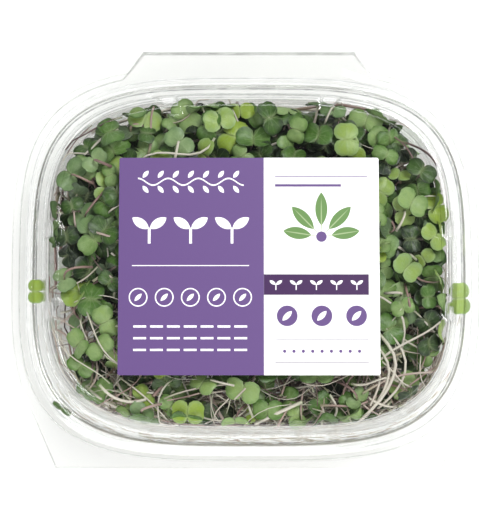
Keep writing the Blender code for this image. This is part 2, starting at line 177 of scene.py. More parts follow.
class StageSettings(bpy.types.PropertyGroup):
    """Camera, lights and floor."""

    elevation: bpy.props.FloatProperty(
        name="Elevation", description="Camera angle above the horizon", default=math.radians(82.0),
        subtype="ANGLE"
    )
    distance: length("Distance", "Camera distance from the rim", 0.72)
    frame_height: length("Frame height", "Height that the picture spans at the rim", 0.1965)
    aim_y: length("Aim", "How far behind the tub's middle the camera aims", 0.0030)
    floor_tint: colour("Floor", "The floor's colour", (0.93, 0.93, 0.925))
    floor_half: length("Floor reach", "Distance from the tray's middle to the floor's edges", 0.8)
    sky: brightness("Sky", "Strength of the light from straight above", 0.14)
    horizon: brightness("Horizon", "Strength of the light from the horizon", 1.40)
    key: brightness("Key", "Power of the light behind, in watts", 25.0)
    front: brightness("Front", "Power of the soft light in front, in watts", 27.5)
    table: brightness("Table", "Strength of the light that the table under the tray gives", 0.12)


SETTINGS = {"tub": TubSettings, "greens": GreensSettings, "sticker": StickerSettings, "stage": StageSettings}


def settings(group):
    """The scene's settings of one group."""
    return getattr(bpy.context.scene, f"tray_{group}")


# Meshes


def new_object(name, points, faces, *materials):
    """A smooth-shaded mesh object from an array of points and a list of face arrays, one for each number of
    corners."""
    mesh = bpy.data.meshes.new(name)
    corners = np.concatenate([f.ravel() for f in faces])
    sizes = np.concatenate([np.full(len(f), f.shape[1]) for f in faces])
    starts = np.concatenate([[0], np.cumsum(sizes)[:-1]])
    mesh.vertices.add(len(points))
    mesh.vertices.foreach_set("co", np.asarray(points, np.float32).ravel())
    mesh.loops.add(len(corners))
    mesh.loops.foreach_set("vertex_index", corners.astype(np.int32))
    mesh.polygons.add(len(sizes))
    mesh.polygons.foreach_set("loop_start", starts.astype(np.int32))
    mesh.update(calc_edges=True)
    mesh.shade_smooth()
    obj = bpy.data.objects.new(name, mesh)
    bpy.context.scene.collection.objects.link(obj)
    for material in materials:
        mesh.materials.append(material)
    return obj


def set_attribute(obj, name, values):
    """A number at each point, for the material to read."""
    attribute = obj.data.attributes.new(name, "FLOAT", "POINT")
    attribute.data.foreach_set("value", np.asarray(values, np.float32).ravel())


def set_uv(obj, places):
    """A UV map that gives each corner its point's place."""
    corner = np.zeros(len(obj.data.loops), np.int32)
    obj.data.loops.foreach_get("vertex_index", corner)
    layer = obj.data.uv_layers.new(name="plan")
    layer.data.foreach_set("uv", np.asarray(places, np.float32)[corner].ravel())


def grid_faces(rows, columns, closed):
    """Quads of a grid of points, closed round its columns or not. Their normal is the cross product of the
    direction along a row with that from row to row."""
    row = np.arange(rows - 1)[:, None]
    column = np.arange(columns if closed else columns - 1)[None, :]
    following = (column + 1) % columns
    low, high = row * columns, (row + 1) * columns
    quads = np.stack([low + column, low + following, high + following, high + column], axis=-1)
    return quads.reshape(-1, 4)


def fan_faces(first, columns, middle, upward=True):
    """Triangles from a closed ring of points to a middle point. They face up, or down, where the ring runs
    anticlockwise as seen from above."""
    near = first + np.arange(columns)
    far = first + (np.arange(columns) + 1) % columns
    return np.stack([near, far, 0 * near + middle] if upward else [far, near, 0 * near + middle], axis=1)


def thicken(obj, thickness, offset=-1.0, inner_slot=0):
    """Gives a surface its thickness, with the material inner_slot places further on for the new side."""
    solidify = obj.modifiers.new("thickness", "SOLIDIFY")
    solidify.thickness = thickness
    solidify.offset = offset
    solidify.material_offset = inner_slot
    solidify.material_offset_rim = 0


# Materials


def math_method(operation):
    """A method of Wire that adds a Math node for the wire and whatever the method is given."""
    return lambda wire, *others: wire.math(operation, wire, *others)


class Wire:
    """A value running between a material's nodes. Arithmetic on it adds Math nodes."""

    __add__ = math_method("ADD")
    __sub__ = math_method("SUBTRACT")
    __mul__ = math_method("MULTIPLY")
    __pow__ = math_method("POWER")
    __abs__ = math_method("ABSOLUTE")
    least = math_method("MINIMUM")
    most = math_method("MAXIMUM")

    def __init__(self, tree, socket):
        self.tree, self.socket = tree, socket

    def math(self, operation, *values):
        """A Math node's result."""
        node = self.tree.nodes.new("ShaderNodeMath")
        node.operation = operation
        for plug, value in zip(node.inputs, values):
            feed(self.tree, plug, value)
        return Wire(self.tree, node.outputs[0])

    def repeat(self, step):
        """The value wrapped to plus or minus half a step, so that a pattern repeats."""
        return self.math("WRAP", self, step / 2, -step / 2)

    def between(self, low, high):
        """Rises smoothly from 0 at low to 1 at high, or falls where low is the larger."""
        node = self.tree.nodes.new("ShaderNodeMapRange")
        node.interpolation_type = "SMOOTHSTEP"
        feed(self.tree, node.inputs["Value"], self)
        flip = low > high
        node.inputs["From Min"].default_value = high if flip else low
        node.inputs["From Max"].default_value = low if flip else high
        node.inputs["To Min"].default_value = 1.0 if flip else 0.0
        node.inputs["To Max"].default_value = 0.0 if flip else 1.0
        return Wire(self.tree, node.outputs["Result"])

    def inside(self, edge, soft):
        """1 where the value is below edge, with a soft border."""
        return self.between(edge + soft, edge - soft)


def feed(tree, plug, value):
    """Links a Wire or a socket to a node's input, or sets the input to a number or colour."""
    if isinstance(value, Wire):
        tree.links.new(value.socket, plug)
    elif isinstance(value, bpy.types.NodeSocket):
        tree.links.new(value, plug)
    elif hasattr(value, "__len__") and len(value) == 3 and len(plug.default_value) == 4:
        plug.default_value = (*value, 1.0)
    else:
        plug.default_value = value


def new_material(name):
    """A material with an empty node tree, and its output node."""
    material = bpy.data.materials.new(name)
    material.use_nodes = True
    tree = material.node_tree
    tree.nodes.clear()
    return material, tree, tree.nodes.new("ShaderNodeOutputMaterial")


def add_node(tree, kind, output=0, **inputs):
    """A node of a kind with inputs fed by name (with _ for a space), as one of its outputs."""
    node = tree.nodes.new(kind)
    for name, value in inputs.items():
        feed(tree, node.inputs[name.replace("_", " ")], value)
    return Wire(tree, node.outputs[output])


def mix_colours(tree, factor, first, second):
    """The first colour where the factor is 0, and the second where it is 1."""
    node = tree.nodes.new("ShaderNodeMix")
    node.data_type = "RGBA"
    for plug, value in ((0, factor), (6, first), (7, second)):
        feed(tree, node.inputs[plug], value)
    return Wire(tree, node.outputs[2])


def mix_shaders(tree, factor, first, second):
    """The first shader where the factor is 0, and the second where it is 1."""
    node = tree.nodes.new("ShaderNodeMixShader")
    for plug, value in zip(node.inputs, (factor, first, second)):
        feed(tree, plug, value)
    return Wire(tree, node.outputs[0])


def in_parts(tree, vector, number):
    """A vector, and its first few parts."""
    parts = tree.nodes.new("ShaderNodeSeparateXYZ")
    feed(tree, parts.inputs[0], vector)
    return vector, [Wire(tree, output) for output in parts.outputs[:number]]


def object_place(tree, scale=1.0):
    """The point's place on the object, times a scale, as a vector and as its three parts."""
    scaled = tree.nodes.new("ShaderNodeVectorMath")
    scaled.operation = "SCALE"
    feed(tree, scaled.inputs[0], tree.nodes.new("ShaderNodeTexCoord").outputs["Object"])
    scaled.inputs["Scale"].default_value = scale
    return in_parts(tree, Wire(tree, scaled.outputs[0]), 3)


def uv_place(tree):
    """The point's place in the plan map, as a vector and as its two parts."""
    node = tree.nodes.new("ShaderNodeUVMap")
    node.uv_map = "plan"
    return in_parts(tree, Wire(tree, node.outputs["UV"]), 2)


def stretched(tree, vector, scale, turn=0.0):
    """A vector with each part scaled, and then turned about Z."""
    return add_node(tree, "ShaderNodeMapping", Vector=vector, Scale=scale, Rotation=(0.0, 0.0, turn))


def attribute(tree, name):
    """The number that a mesh holds at each point under a name."""
    node = tree.nodes.new("ShaderNodeAttribute")
    node.attribute_name = name
    return Wire(tree, node.outputs["Fac"])


def noise(tree, vector, scale, detail=2.0, roughness=0.5):
    """Noise from 0 to 1 over a vector."""
    return add_node(
        tree, "ShaderNodeTexNoise", Vector=vector, Scale=scale, Detail=detail, Roughness=roughness
    )


def ramp(tree, factor, stops):
    """A colour ramp through (position, colour) stops."""
    node = tree.nodes.new("ShaderNodeValToRGB")
    feed(tree, node.inputs["Fac"], factor)
    elements = node.color_ramp.elements
    while len(elements) < len(stops):
        elements.new(0.5)
    for element, (position, tint) in zip(elements, stops):
        element.position = position
        element.color = (*tint, 1.0)
    return Wire(tree, node.outputs["Color"])


def bump(tree, height, distance, strength):
    """The normal of a surface that a height lifts, by the distance where the height is 1."""
    return add_node(tree, "ShaderNodeBump", Height=height, Distance=distance, Strength=strength)


def principled(tree, tint, roughness, **inputs):
    """A Principled shader."""
    return add_node(tree, "ShaderNodeBsdfPrincipled", Base_Color=tint, Roughness=roughness, **inputs)


def translucent(tree, tint):
    """A shader that passes light on from the far side."""
    return add_node(tree, "ShaderNodeBsdfTranslucent", Color=tint)


def clear_sheet_material(name, folds):
    """Clear formed sheet: light goes straight through, dimmed where the sheet is seen edge on, with a thin
    painted dark line along each of its folds that stands in for the light the fold bends away. The folds are
    given as places along the section, each with its strength and half its width. Over it lies a gloss that
    follows
    Fresnel's rule."""
    look = settings("tub")
    material, tree, output = new_material(name)
    place, _ = object_place(tree)
    stops = [(0.0, (0.0, 0.0, 0.0))]
    for at, strength, half_width in sorted(folds):
        for step, level in ((-1, 0.0), (0, strength), (1, 0.0)):
            stops.append((max(at + step * half_width, stops[-1][0] + 1e-4), (level, level, level)))
    # Painted shade: dark lines along the folds, broken into dashes, stand in for the light each fold bends
    # away
    line = ramp(tree, attribute(tree, "run"), stops)
    dashes = noise(tree, place, 150.0, 3.0, 0.7)
    fold_shade = (line * dashes.between(0.28, 0.62)).most(line * 0.45)
    facing = add_node(tree, "ShaderNodeLayerWeight", 1, Blend=0.5)
    body = mix_colours(tree, facing.between(0.84, 1.0), look.clear_tint, look.edge_tint)
    body = mix_colours(tree, fold_shade, body, look.fold_shade_tint)
    through = add_node(tree, "ShaderNodeBsdfTransparent", Color=body)
    gloss = add_node(tree, "ShaderNodeBsdfGlossy", Color=(1.0, 1.0, 1.0), Roughness=look.gloss)
    fresnel = add_node(tree, "ShaderNodeFresnel", IOR=1.45)
    feed(tree, output.inputs["Surface"], mix_shaders(tree, fresnel * 0.60, through, gloss))
    return material


def leaf_material(name, bloom):
    """A seed leaf: green by its tone, mottled, with painted shade darkening its margin, paler veins that
    fan out from the stalk, a soft sheen, and some light coming through. Bloom is how pale and dull the face
    is."""
    look = settings("greens")
    material, tree, output = new_material(name)
    place, _ = object_place(tree)
    flat, (along, across) = uv_place(tree)
    mottle = noise(tree, place, 420.0, 3.0, 0.6)
    blotch = noise(tree, place, 110.0, 2.0)
    far = ((along - LOBE_MIDDLE) ** 2 + across**2) ** 0.5
    # The tone attribute holds painted shade: it is lower for deeper layers and in the heap's hollows
    shade = attribute(tree, "tone") + (mottle - 0.5) * 0.30 + (blotch - 0.5) * 0.22
    # Painted shade: each lobe's colour darkens towards its margin
    shade = shade - far.between(0.30, 0.62) * 0.17
    green = ramp(tree, shade, (
        (0.00, look.leaf_dark),
        (0.38, look.leaf_mid),
        (0.66, look.leaf_pale),
        (0.95, look.leaf_young),
    ))
    fan = across.math("ARCTAN2", across, along + 0.12)
    rib = abs(fan.repeat(0.46)) * (along + 0.12)
    veins = rib.inside(0.008, 0.010) * along.between(1.15, 0.25)
    cells = add_node(tree, "ShaderNodeTexVoronoi", Vector=flat, Scale=11.0)
    skin_tint = green
    for factor, tint in (
        (veins * 0.34, (0.42, 0.55, 0.26)),
        (cells.between(0.55, 0.95) * 0.14, (0.38, 0.50, 0.24)),
        (along.between(0.20, 0.0) * 0.35, (0.40, 0.48, 0.22)),
        (bloom, (0.32, 0.42, 0.27)),
    ):
        skin_tint = mix_colours(tree, factor, skin_tint, tint)
    relief = bump(tree, cells * 0.5 + veins * 0.8 + mottle * 0.4, 0.00018, 0.55)
    skin = principled(tree, skin_tint, 0.40, Specular_IOR_Level=0.50, Normal=relief)
    lit = translucent(tree, mix_colours(tree, 0.4, skin_tint, look.leaf_young))
    feed(tree, output.inputs["Surface"], mix_shaders(tree, 0.16, skin, lit))
    return material


def stem_material():
    """A cut stem: cream, pink or purple-brown by its tone, greener at its start, with fine lengthwise fibres,
    and a soft wet sheen."""
    look = settings("greens")
    material, tree, output = new_material("cut_stem")
    place, _ = object_place(tree)
    flat, (along, _) = uv_place(tree)
    fibres = noise(tree, stretched(tree, flat, (3.0, 40.0, 1.0)), 1.0, 3.0)
    blotch = noise(tree, place, 160.0, 2.0)
    shade = attribute(tree, "tone") + (blotch - 0.5) * 0.30 + (fibres - 0.5) * 0.20
    base = ramp(tree, shade, (
        (0.05, look.stem_dark),
        (0.42, look.stem_pink),
        (0.80, look.stem_cream),
    ))
    tinted = mix_colours(tree, along.between(0.30, 0.0) * 0.45, base, (0.36, 0.46, 0.20))
    relief = bump(tree, fibres, 0.0001, 0.6)
    skin = principled(tree, tinted, 0.38, Specular_IOR_Level=0.5, Normal=relief)
    feed(tree, output.inputs["Surface"], mix_shaders(tree, 0.15, skin, translucent(tree, tinted)))
    return material


def tangle_core_material():
    """The tangle's dark middle, partly matted stems and partly painted shade: purple-brown and dull, near
    black where darkest, streaked like matted stems, paler in front.
    """
    look = settings("greens")
    material, tree, output = new_material("matted_stems")
    place, (_, y, _) = object_place(tree)
    strands = noise(tree, stretched(tree, place, (90.0, 260.0, 500.0), 0.6), 1.0, 4.0, 0.65)
    # Painted shade: the near-black stop stands for the deep shade among the stems
    base = ramp(tree, strands, (
        (0.30, (0.020, 0.014, 0.014)),
        (0.60, look.stem_dark),
        (0.82, look.stem_pink),
    ))
    base = mix_colours(tree, y.between(-0.030, -0.050) * strands, base, look.stem_cream)
    feed(tree, output.inputs["Surface"], principled(tree, base, 0.7, Normal=bump(tree, strands, 0.002, 0.8)))
    return material


def disc(x, y, middle_x, middle_y, radius):
    """How far outside a disc the point is."""
    return ((x - middle_x) ** 2 + (y - middle_y) ** 2) ** 0.5 - radius


def slab(x, y, middle_x, middle_y, half_x, half_y):
    """How far outside a rectangle the point is."""
    return (abs(x - middle_x) - half_x).most(abs(y - middle_y) - half_y)


def leaf_shape(x, y, middle_x, middle_y, turn, half_long, half_wide):
    """How far outside a pointed leaf the point is. Both circles that cross at its tips have to hold it."""
    u = (x - middle_x) * math.cos(turn) + (y - middle_y) * math.sin(turn)
    v = (y - middle_y) * math.cos(turn) - (x - middle_x) * math.sin(turn)
    radius = (half_long**2 + half_wide**2) / (2 * half_wide)
    return (u**2 + (abs(v) + (radius - half_wide)) ** 2) ** 0.5 - radius


def sprout_shape(x, y, size):
    """How far outside a printed sprout the point is: two leaves on a short stem, each about size across."""
    left = leaf_shape(x, y, -0.46 * size, 0.30 * size, 2.55, 0.52 * size, 0.24 * size)
    right = leaf_shape(x, y, 0.46 * size, 0.30 * size, 0.59, 0.52 * size, 0.24 * size)
    return left.least(right).least(slab(x, y, 0.0, -0.36 * size, 0.07 * size, 0.42 * size))


def sticker_back_material():
    """The sticker's bare underside: white paper under dry adhesive, faintly mottled."""
    material, tree, output = new_material("sticker_back")
    place, _ = object_place(tree)
    fleck = noise(tree, place, 600.0, 3.0)
    paper = mix_colours(tree, fleck, (0.74, 0.74, 0.76), (0.84, 0.84, 0.85))
    feed(tree, output.inputs["Surface"], principled(tree, paper, 0.6, Normal=bump(tree, fleck, 0.00003, 0.4)))
    return material


# The printed fan's five leaves, from right to left: turn, distance of the middle from the foot, half length
FAN = ((0.15, 9.2, 5.4), (0.80, 10.0, 6.0), (1.57, 10.6, 6.4), (2.34, 10.0, 6.0), (2.99, 9.2, 5.4))
VIOLET_MIDDLE = -22.0
WHITE_MIDDLE = 27.3


def sticker_material():
    """The sticker's print, in millimetres from its middle: a violet field with a vine, a row of white
    sprouts, rings and short rules, and a white one with a fan of leaves, a dark band, three discs, rules and
    dots."""
    look = settings("sticker")
    material, tree, output = new_material("printed_sticker")
    place, _ = object_place(tree)
    _, (x, y, _) = object_place(tree, 1000.0)
    x, y = x - LABEL_MIDDLE.x * 1000, y - LABEL_MIDDLE.y * 1000
    split = look.split_x * 1000
    violet, white, dark, green, grey = look.field, look.paper, look.band, look.leaf, look.rule
    print_on = mix_colours(tree, x.between(split - 0.06, split + 0.06), violet, white)

    def paint(shape, tint):
        """Prints a shape over what is there, with a border soft enough not to look cut."""
        nonlocal print_on
        print_on = mix_colours(tree, shape.inside(0.0, 0.07), print_on, tint)

    # The violet field, with places across it from its own middle
    u = x - VIOLET_MIDDLE
    field = slab(u, y, 0.0, 0.0, 25.0, 50.0)
    vine = y - 32.0 - (u * 0.55).math("SINE", u * 0.55) * 1.3
    leaflet = leaf_shape(u.repeat(5.71), abs(y - 32.0), 0.0, 2.9, 0.9, 1.7, 0.8)
    paint((abs(vine) - 0.28).least(leaflet).most(field + 5.02), white)
    paint(sprout_shape(u.repeat(15.6), y - 14.0, 7.2).most(field + 1.8), white)
    paint(slab(u, y, 0.0, 0.0, 22.0, 0.16), white)
    ring = abs(disc(u.repeat(9.8), y, 0.0, -12.0, 3.3)) - 0.22
    seed = leaf_shape(u.repeat(9.8), y, 0.0, -12.0, 0.8, 1.9, 0.75)
    paint(ring.least(seed).most(field + 0.5), white)
    dash = slab(u.repeat(6.3), (y + 27.4).repeat(4.4), 0.0, 0.0, 2.4, 0.40)
    paint(dash.most(slab(u, y, 0.0, -27.4, 22.05, 5.2)), white)

    # The white field likewise
    u = x - WHITE_MIDDLE
    field = slab(u, y, 0.0, 0.0, 19.0, 50.0)
    paint(slab(u, y, 0.0, 34.0, 17.5, 0.16).least(slab(u, y, -5.0, 30.6, 12.5, 0.50)), violet)
    ribs = [(turn, 7.6, 7.2) for turn, *_ in FAN]
    for leaves, half_wide, tint in ((FAN, 2.3, green), (ribs, 0.22, (0.32, 0.42, 0.22))):
        paint(reduce(Wire.least, (
            leaf_shape(u, y, far * math.cos(turn), 11.0 + far * math.sin(turn), turn, half_long, half_wide)
            for turn, far, half_long in leaves
        )), tint)
    paint(disc(u, y, 0.0, 11.0, 2.0), violet)
    paint(slab(u, y, -2.0, -7.2, 19.7, 3.9), dark)
    paint(sprout_shape((u + 2.0).repeat(7.6), y + 7.2, 2.6).most(slab(u, y, -2.0, -7.2, 17.5, 3.9)), white)
    paint(disc(u.repeat(13.0), y, 0.0, -19.0, 3.9).most(field + 0.5), violet)
    paint(leaf_shape(u.repeat(13.0), y, 0.0, -19.0, 0.8, 2.5, 1.0).most(field + 1.5), white)
    paint(slab(u, y, 0.0, -28.0, 17.5, 0.14).least(slab(u, y, 0.0, -36.5, 17.5, 0.14)), grey)
    dots = disc(u.repeat(3.5), y, 0.0, -32.3, 0.62)
    paint(dots.most(slab(u, y, 0.0, -32.3, 17.0, 2.0)), violet)

    relief = bump(tree, noise(tree, place, 900.0), 0.00002, 0.3)
    skin = principled(tree, print_on, 0.42, Specular_IOR_Level=0.35, Normal=relief)
    feed(tree, output.inputs["Surface"], skin)
    return material


# Plan outlines of the tub and lid


def ring_radius(turn, half_x, half_y):
    """Distance from the middle to a superellipse: (|cos/a|^n + |sin/b|^n)^(-1/n) for half widths a and b."""
    along, across = np.abs(np.cos(turn) / half_x), np.abs(np.sin(turn) / half_y)
    return (along**ROUNDNESS + across**ROUNDNESS) ** (-1 / ROUNDNESS)


def segment_radius(turn, start, end):
    """Distance along each direction to the segment from start to end, or 0 where the ray misses it: the cross
    products of start and edge, and of start and ray, over that of ray and edge."""
    ray_x, ray_y = np.cos(turn), np.sin(turn)
    edge_x, edge_y = end[0] - start[0], end[1] - start[1]
    turned = ray_x * edge_y - ray_y * edge_x
    turned = np.where(np.abs(turned) < 1e-12, 1e-12, turned)
    far = (start[0] * edge_y - start[1] * edge_x) / turned
    part = (start[0] * ray_y - start[1] * ray_x) / turned
    return np.where((far > 0) & (part >= 0) & (part <= 1), far, 0.0)


def tab_radius(turn, tab):
    """Distance to a tab's three straight edges, mirrored over the Y axis."""
    corner, root = tab
    far_corner, far_root = (-corner[0], corner[1]), (-root[0], root[1])
    edges = ((root, corner), (corner, far_corner), (far_corner, far_root))
    return np.max([segment_radius(turn, a, b) for a, b in edges], axis=0)


def plan_turns(sides, tabs):
    """Evenly spaced directions, with one moved to each corner of a tab."""
    turn = np.linspace(-math.pi, math.pi, sides, endpoint=False)
    for corner, root in tabs:
        for x, y in (corner, root):
            for side in (1, -1):
                exact = math.atan2(y, side * x)
                turn[np.argmin(np.abs(turn - exact))] = exact
    return turn


def softened(section):
    """A section with its corners rounded by two cuts. Each cut replaces every inner corner by points a
    quarter and three quarters of the way along its two sides, and keeps both ends."""
    points = np.array(section, float)
    for _ in range(2):
        near = 0.75 * points[:-1] + 0.25 * points[1:]
        far = 0.25 * points[:-1] + 0.75 * points[1:]
        inner = np.stack([near, far], axis=1).reshape(-1, points.shape[1])[1:-1]
        points = np.vstack([points[:1], inner, points[-1:]])
    return points


def formed_surface(turn, section, half, tabs, relief):
    """Points of a formed sheet on a grid of section points by directions.

    Each ring is the superellipse of the outline less the section's inset, drawn out to the tabs' straight
    edges by the section's tab share, at the section's height. Relief adds to each ring's inset and height."""
    inset, height, tab_share = (section[:, i][:, None] for i in range(3))
    x_at, y_at = np.cos(turn)[None], np.sin(turn)[None]
    outline = ring_radius(turn[None], half[0], half[1])
    added_inset, added_height = relief(outline * x_at, outline * y_at, inset, height)
    inset = inset + added_inset
    radius = ring_radius(turn[None], half[0] - inset, half[1] - inset)
    reach = np.max([tab_radius(turn, tab) for tab in tabs], axis=0)[None]
    radius = radius + tab_share * np.maximum(reach - outline, 0)
    return np.stack([radius * x_at, radius * y_at, height + added_height + 0 * radius], axis=-1)


def formed_sheet(name, section, half, tabs, relief):
    """A clear sheet from its section, closed to its middle. The material gets the place of each fold, and
    each point's share of the length along the section."""
    look = settings("tub")
    corners, section = section, softened(section[:, :3])
    run = np.concatenate([[0], np.cumsum(np.hypot(*np.diff(section[:, :2], axis=0).T))])
    nearest = np.hypot(*(corners[:, None, :2] - section[None, :, :2]).transpose(2, 0, 1)).argmin(axis=1)
    width = FOLD_HALF_WIDTH / run[-1]
    folds = [(run[k] / run[-1], dark, width) for k, dark in zip(nearest, corners[:, 3]) if dark > 0]
    material = clear_sheet_material(name.replace("sheet", "plastic"), folds)
    points = formed_surface(plan_turns(look.sides, tabs), section, half, tabs, relief)
    rows, columns = points.shape[:2]
    middle = np.array([[0.0, 0.0, points[-1, :, 2].mean()]])
    faces = [grid_faces(rows, columns, True), fan_faces((rows - 1) * columns, columns, rows * columns)]
    obj = new_object(name, np.vstack([points.reshape(-1, 3), middle]), faces, material)
    set_attribute(obj, "run", np.append(np.repeat(run / run[-1], columns), 1.0))
    thicken(obj, look.sheet)
    return obj


def window(value, low, high, soft):
    """1 between low and high, falling smoothly to 0 over soft on each side."""
    rise = np.clip((value - low) / soft + 0.5, 0, 1)
    fall = np.clip((high - value) / soft + 0.5, 0, 1)
    return (rise * rise * (3 - 2 * rise)) * (fall * fall * (3 - 2 * fall))


def section(*rows):
    """Rows of a section from the rim to the middle: inset from the outline, height, share of the tabs that
    the ring follows, and how dark a line its fold shows as."""
    return np.array(rows, float)


# Half the width of the line that a fold shows as, in metres, and the sheets' sections
FOLD_HALF_WIDTH = 0.00024
TUB_SECTION = section(
    (0.0000, RIM_Z - 0.0035, 1.0, 0.32),
    (0.0000, RIM_Z - 0.0022, 1.0, 0.0),
    (0.0003, RIM_Z - 0.0020, 1.0, 0.0),
    (0.0062, RIM_Z - 0.0020, 0.0, 0.0),
    (0.0074, RIM_Z + 0.0010, 0.0, 0.0),
    (0.0088, RIM_Z + 0.0010, 0.0, 0.0),
    (0.0096, RIM_Z - 0.0008, 0.0, 0.30),
    (0.0128, RIM_Z - 0.0008, 0.0, 0.0),
    (0.0140, RIM_Z - 0.0025, 0.0, 0.18),
    (0.0158, 0.0290, 0.0, 0.0),
    (0.0163, 0.0285, 0.0, 0.15),
    (0.0222, 0.0062, 0.0, 0.0),
    (0.0232, 0.0036, 0.0, 0.0),
    (0.0252, 0.0016, 0.0, 0.20),
    (0.0285, 0.0006, 0.0, 0.0),
    (0.0330, 0.0006, 0.0, 0.0),
    (0.0338, 0.0012, 0.0, 0.20),
    (0.0360, 0.0012, 0.0, 0.0),
)
LID_SECTION = section(
    (0.0000, HINGE.z + 0.0002, 1.0, 0.18),
    (0.0001, RIM_Z + 0.0004, 1.0, 0.0),
    (0.0004, RIM_Z + 0.0006, 1.0, 0.32),
    (0.0029, RIM_Z + 0.0006, 0.1, 0.0),
    (0.0034, RIM_Z + 0.0030, 0.0, 0.70),
    (0.0062, RIM_Z + 0.0030, 0.0, 0.0),
    (0.0068, RIM_Z + 0.0006, 0.0, 0.75),
    (0.0088, RIM_Z + 0.0006, 0.0, 0.0),
    (0.0094, RIM_Z + 0.0030, 0.0, 0.35),
    (0.0106, RIM_Z + 0.0068, 0.0, 0.0),
    (0.0112, RIM_Z + 0.0112, 0.0, 0.0),
    (0.0120, RIM_Z + 0.0134, 0.0, 0.95),
    (0.0134, LID_TOP, 0.0, 0.55),
    (0.0160, LID_TOP, 0.0, 0.30),
    (0.0168, LID_TOP - 0.0006, 0.0, 0.0),
    (0.0200, LID_TOP - 0.0006, 0.0, 0.0),
    (0.0270, LID_TOP - 0.0006, 0.0, 0.0),
    (0.0300, LID_TOP - 0.0006, 0.0, 0.0),
)


def lid_relief(x, y, inset, height):
    """How the lid departs from a plain superellipse: its dome steps in at two narrow lugs behind and two on
    each side, its panel reaches further out in front, and its snap ring has small locking bumps."""
    on_wall = window(height, RIM_Z + 0.0050, LID_TOP + 0.01, 0.0030) * window(inset, -0.0100, 0.0215, 0.0080)
    behind = window(np.abs(x), 0.0335, 0.0405, 0.0014) * (y > 0)
    beside = (window(y, 0.0100, 0.0165, 0.0010) + window(y, -0.0265, -0.0195, 0.0010)) * (np.abs(x) > 0.06)
    added_inset = on_wall * (0.0032 * behind + 0.0018 * beside)
    front = np.clip((-y - 0.0150) / 0.0300, 0, 1)
    added_inset = added_inset - 0.65 * front * front * (3 - 2 * front) * np.clip(inset - 0.0134, 0, 0.0034)
    bump_x = window(np.abs(x), 0.0430, 0.0490, 0.0008) * (y > 0)
    added_height = 0.0010 * window(inset, 0.0070, 0.0088, 0.0004) * bump_x
    return added_inset, added_height


def tub_relief(x, y, inset, height):
    """How the tub departs from a plain superellipse: it has stacking lugs high on its walls."""
    lug = window(np.abs(x), 0.0300, 0.0360, 0.0015) * (np.abs(y) > 0.05)
    lug = lug + window(np.abs(y), 0.0200, 0.0260, 0.0015) * (np.abs(x) > 0.06)
    on_wall = window(height, 0.0225, 0.0285, 0.0015) * window(inset, 0.0145, 0.0215, 0.0008)
    return 0.0012 * on_wall * lug, np.zeros_like(lug)


# Space for the greens


def space_half(height):
    """Half widths of the space inside the closed tub at each height, 1 mm in from the sheet."""
    wall = TUB_SECTION[8:16]
    order = np.argsort(wall[:, 1], kind="stable")
    inset = np.interp(height, wall[order, 1], wall[order, 0])
    dome = LID_HALF - (LID_SECTION[9, 0] + 0.0012)
    below = FLANGE_HALF[:, None] - inset.ravel() - 0.0013
    return np.where(height.ravel() < RIM_Z, below, dome[:, None]).reshape(2, *height.shape)


def humps(x, y):
    """Slow waves over the heap, from -1 in its hollows to 1 on its humps: sine waves in four directions."""
    waves = ((260, 90, 0.3), (-140, 310, 1.9), (340, -200, 4.0), (90, 420, 2.6))
    return np.clip(sum(np.sin(a * x + b * y + c) for a, b, c in waves) / 2.0, -1, 1)


# Half widths of the heap's top, and the highest and lowest place of a leaf
CANOPY_HALF = (0.0765, 0.0635)
LEAF_TOP = LID_TOP - 0.0018
LEAF_FLOOR = 0.0022


def canopy_height(x, y):
    """The heap's top: it has humps, falls with the fourth power of the distance to the walls, and falls with
    its square towards the front."""
    edge = np.abs(x / CANOPY_HALF[0]) ** 4 + np.abs(y / CANOPY_HALF[1]) ** 4
    front = np.maximum(0.0, -y / CANOPY_HALF[1]) ** 2
    return LID_TOP - 0.0050 + 0.0021 * humps(x, y) - 0.0038 * np.minimum(1.0, edge) - 0.0014 * front


# Places by the walls where the heap stands back and the tub shows through: middle, then half sizes, in metres
GAPS = (
    (-0.0750, -0.0290, 0.0085, 0.0300),
    (0.0700, 0.0510, 0.0120, 0.0135),
    (-0.0715, 0.0500, 0.0075, 0.0090),
    (0.0750, -0.0450, 0.0060, 0.0120),
    (0.0790, 0.0120, 0.0045, 0.0260),
)


def bareness(x, y):
    """1 in the middle of each gap between the heap and the walls: e to minus the sum of the fourth powers of
    the two distances in half sizes, added up over the gaps."""
    return sum(np.exp(-(((x - a) / c) ** 4 + ((y - b) / d) ** 4)) for a, b, c, d in GAPS)


def stemmy(x, y):
    """How much the stems show among the leaves: most along the front, by a logistic step, and in bell-shaped
    patches at the front corners."""
    front = 1 / (1 + np.exp((y + 0.0430) / 0.0040))
    left = np.exp(-(((x + 0.0540) / 0.0150) ** 2 + ((y + 0.0250) / 0.0170) ** 2))
    right = np.exp(-(((x - 0.0540) / 0.0120) ** 2 + ((y + 0.0380) / 0.0130) ** 2))
    return np.clip(0.78 * front + 0.50 * left + 0.50 * right, 0, 0.92)


# Sprouts

# Points round a lobe and its rings of points, then its disc's radius and middle in shares of its reach
SPOKES = 14
LOBE_RINGS = (0.60, 1.0)
LOBE_RADIUS = 0.57
LOBE_MIDDLE = 0.43


def lobe_plan(turn, ring):
    """Plan of one seed leaf in shares of its reach: a disc about LOBE_MIDDLE with a notch in its tip, cut off
    straight at the stalk, where the two lobes of a pair meet."""
    from_tip = np.minimum(turn, 2 * math.pi - turn)
    radius = LOBE_RADIUS * (1 - 0.20 * np.exp(-((from_tip / 0.34) ** 2)))
    x = LOBE_MIDDLE + ring * radius * np.cos(turn)
    return np.maximum(x, 0.0), ring * radius * 1.06 * np.sin(turn)


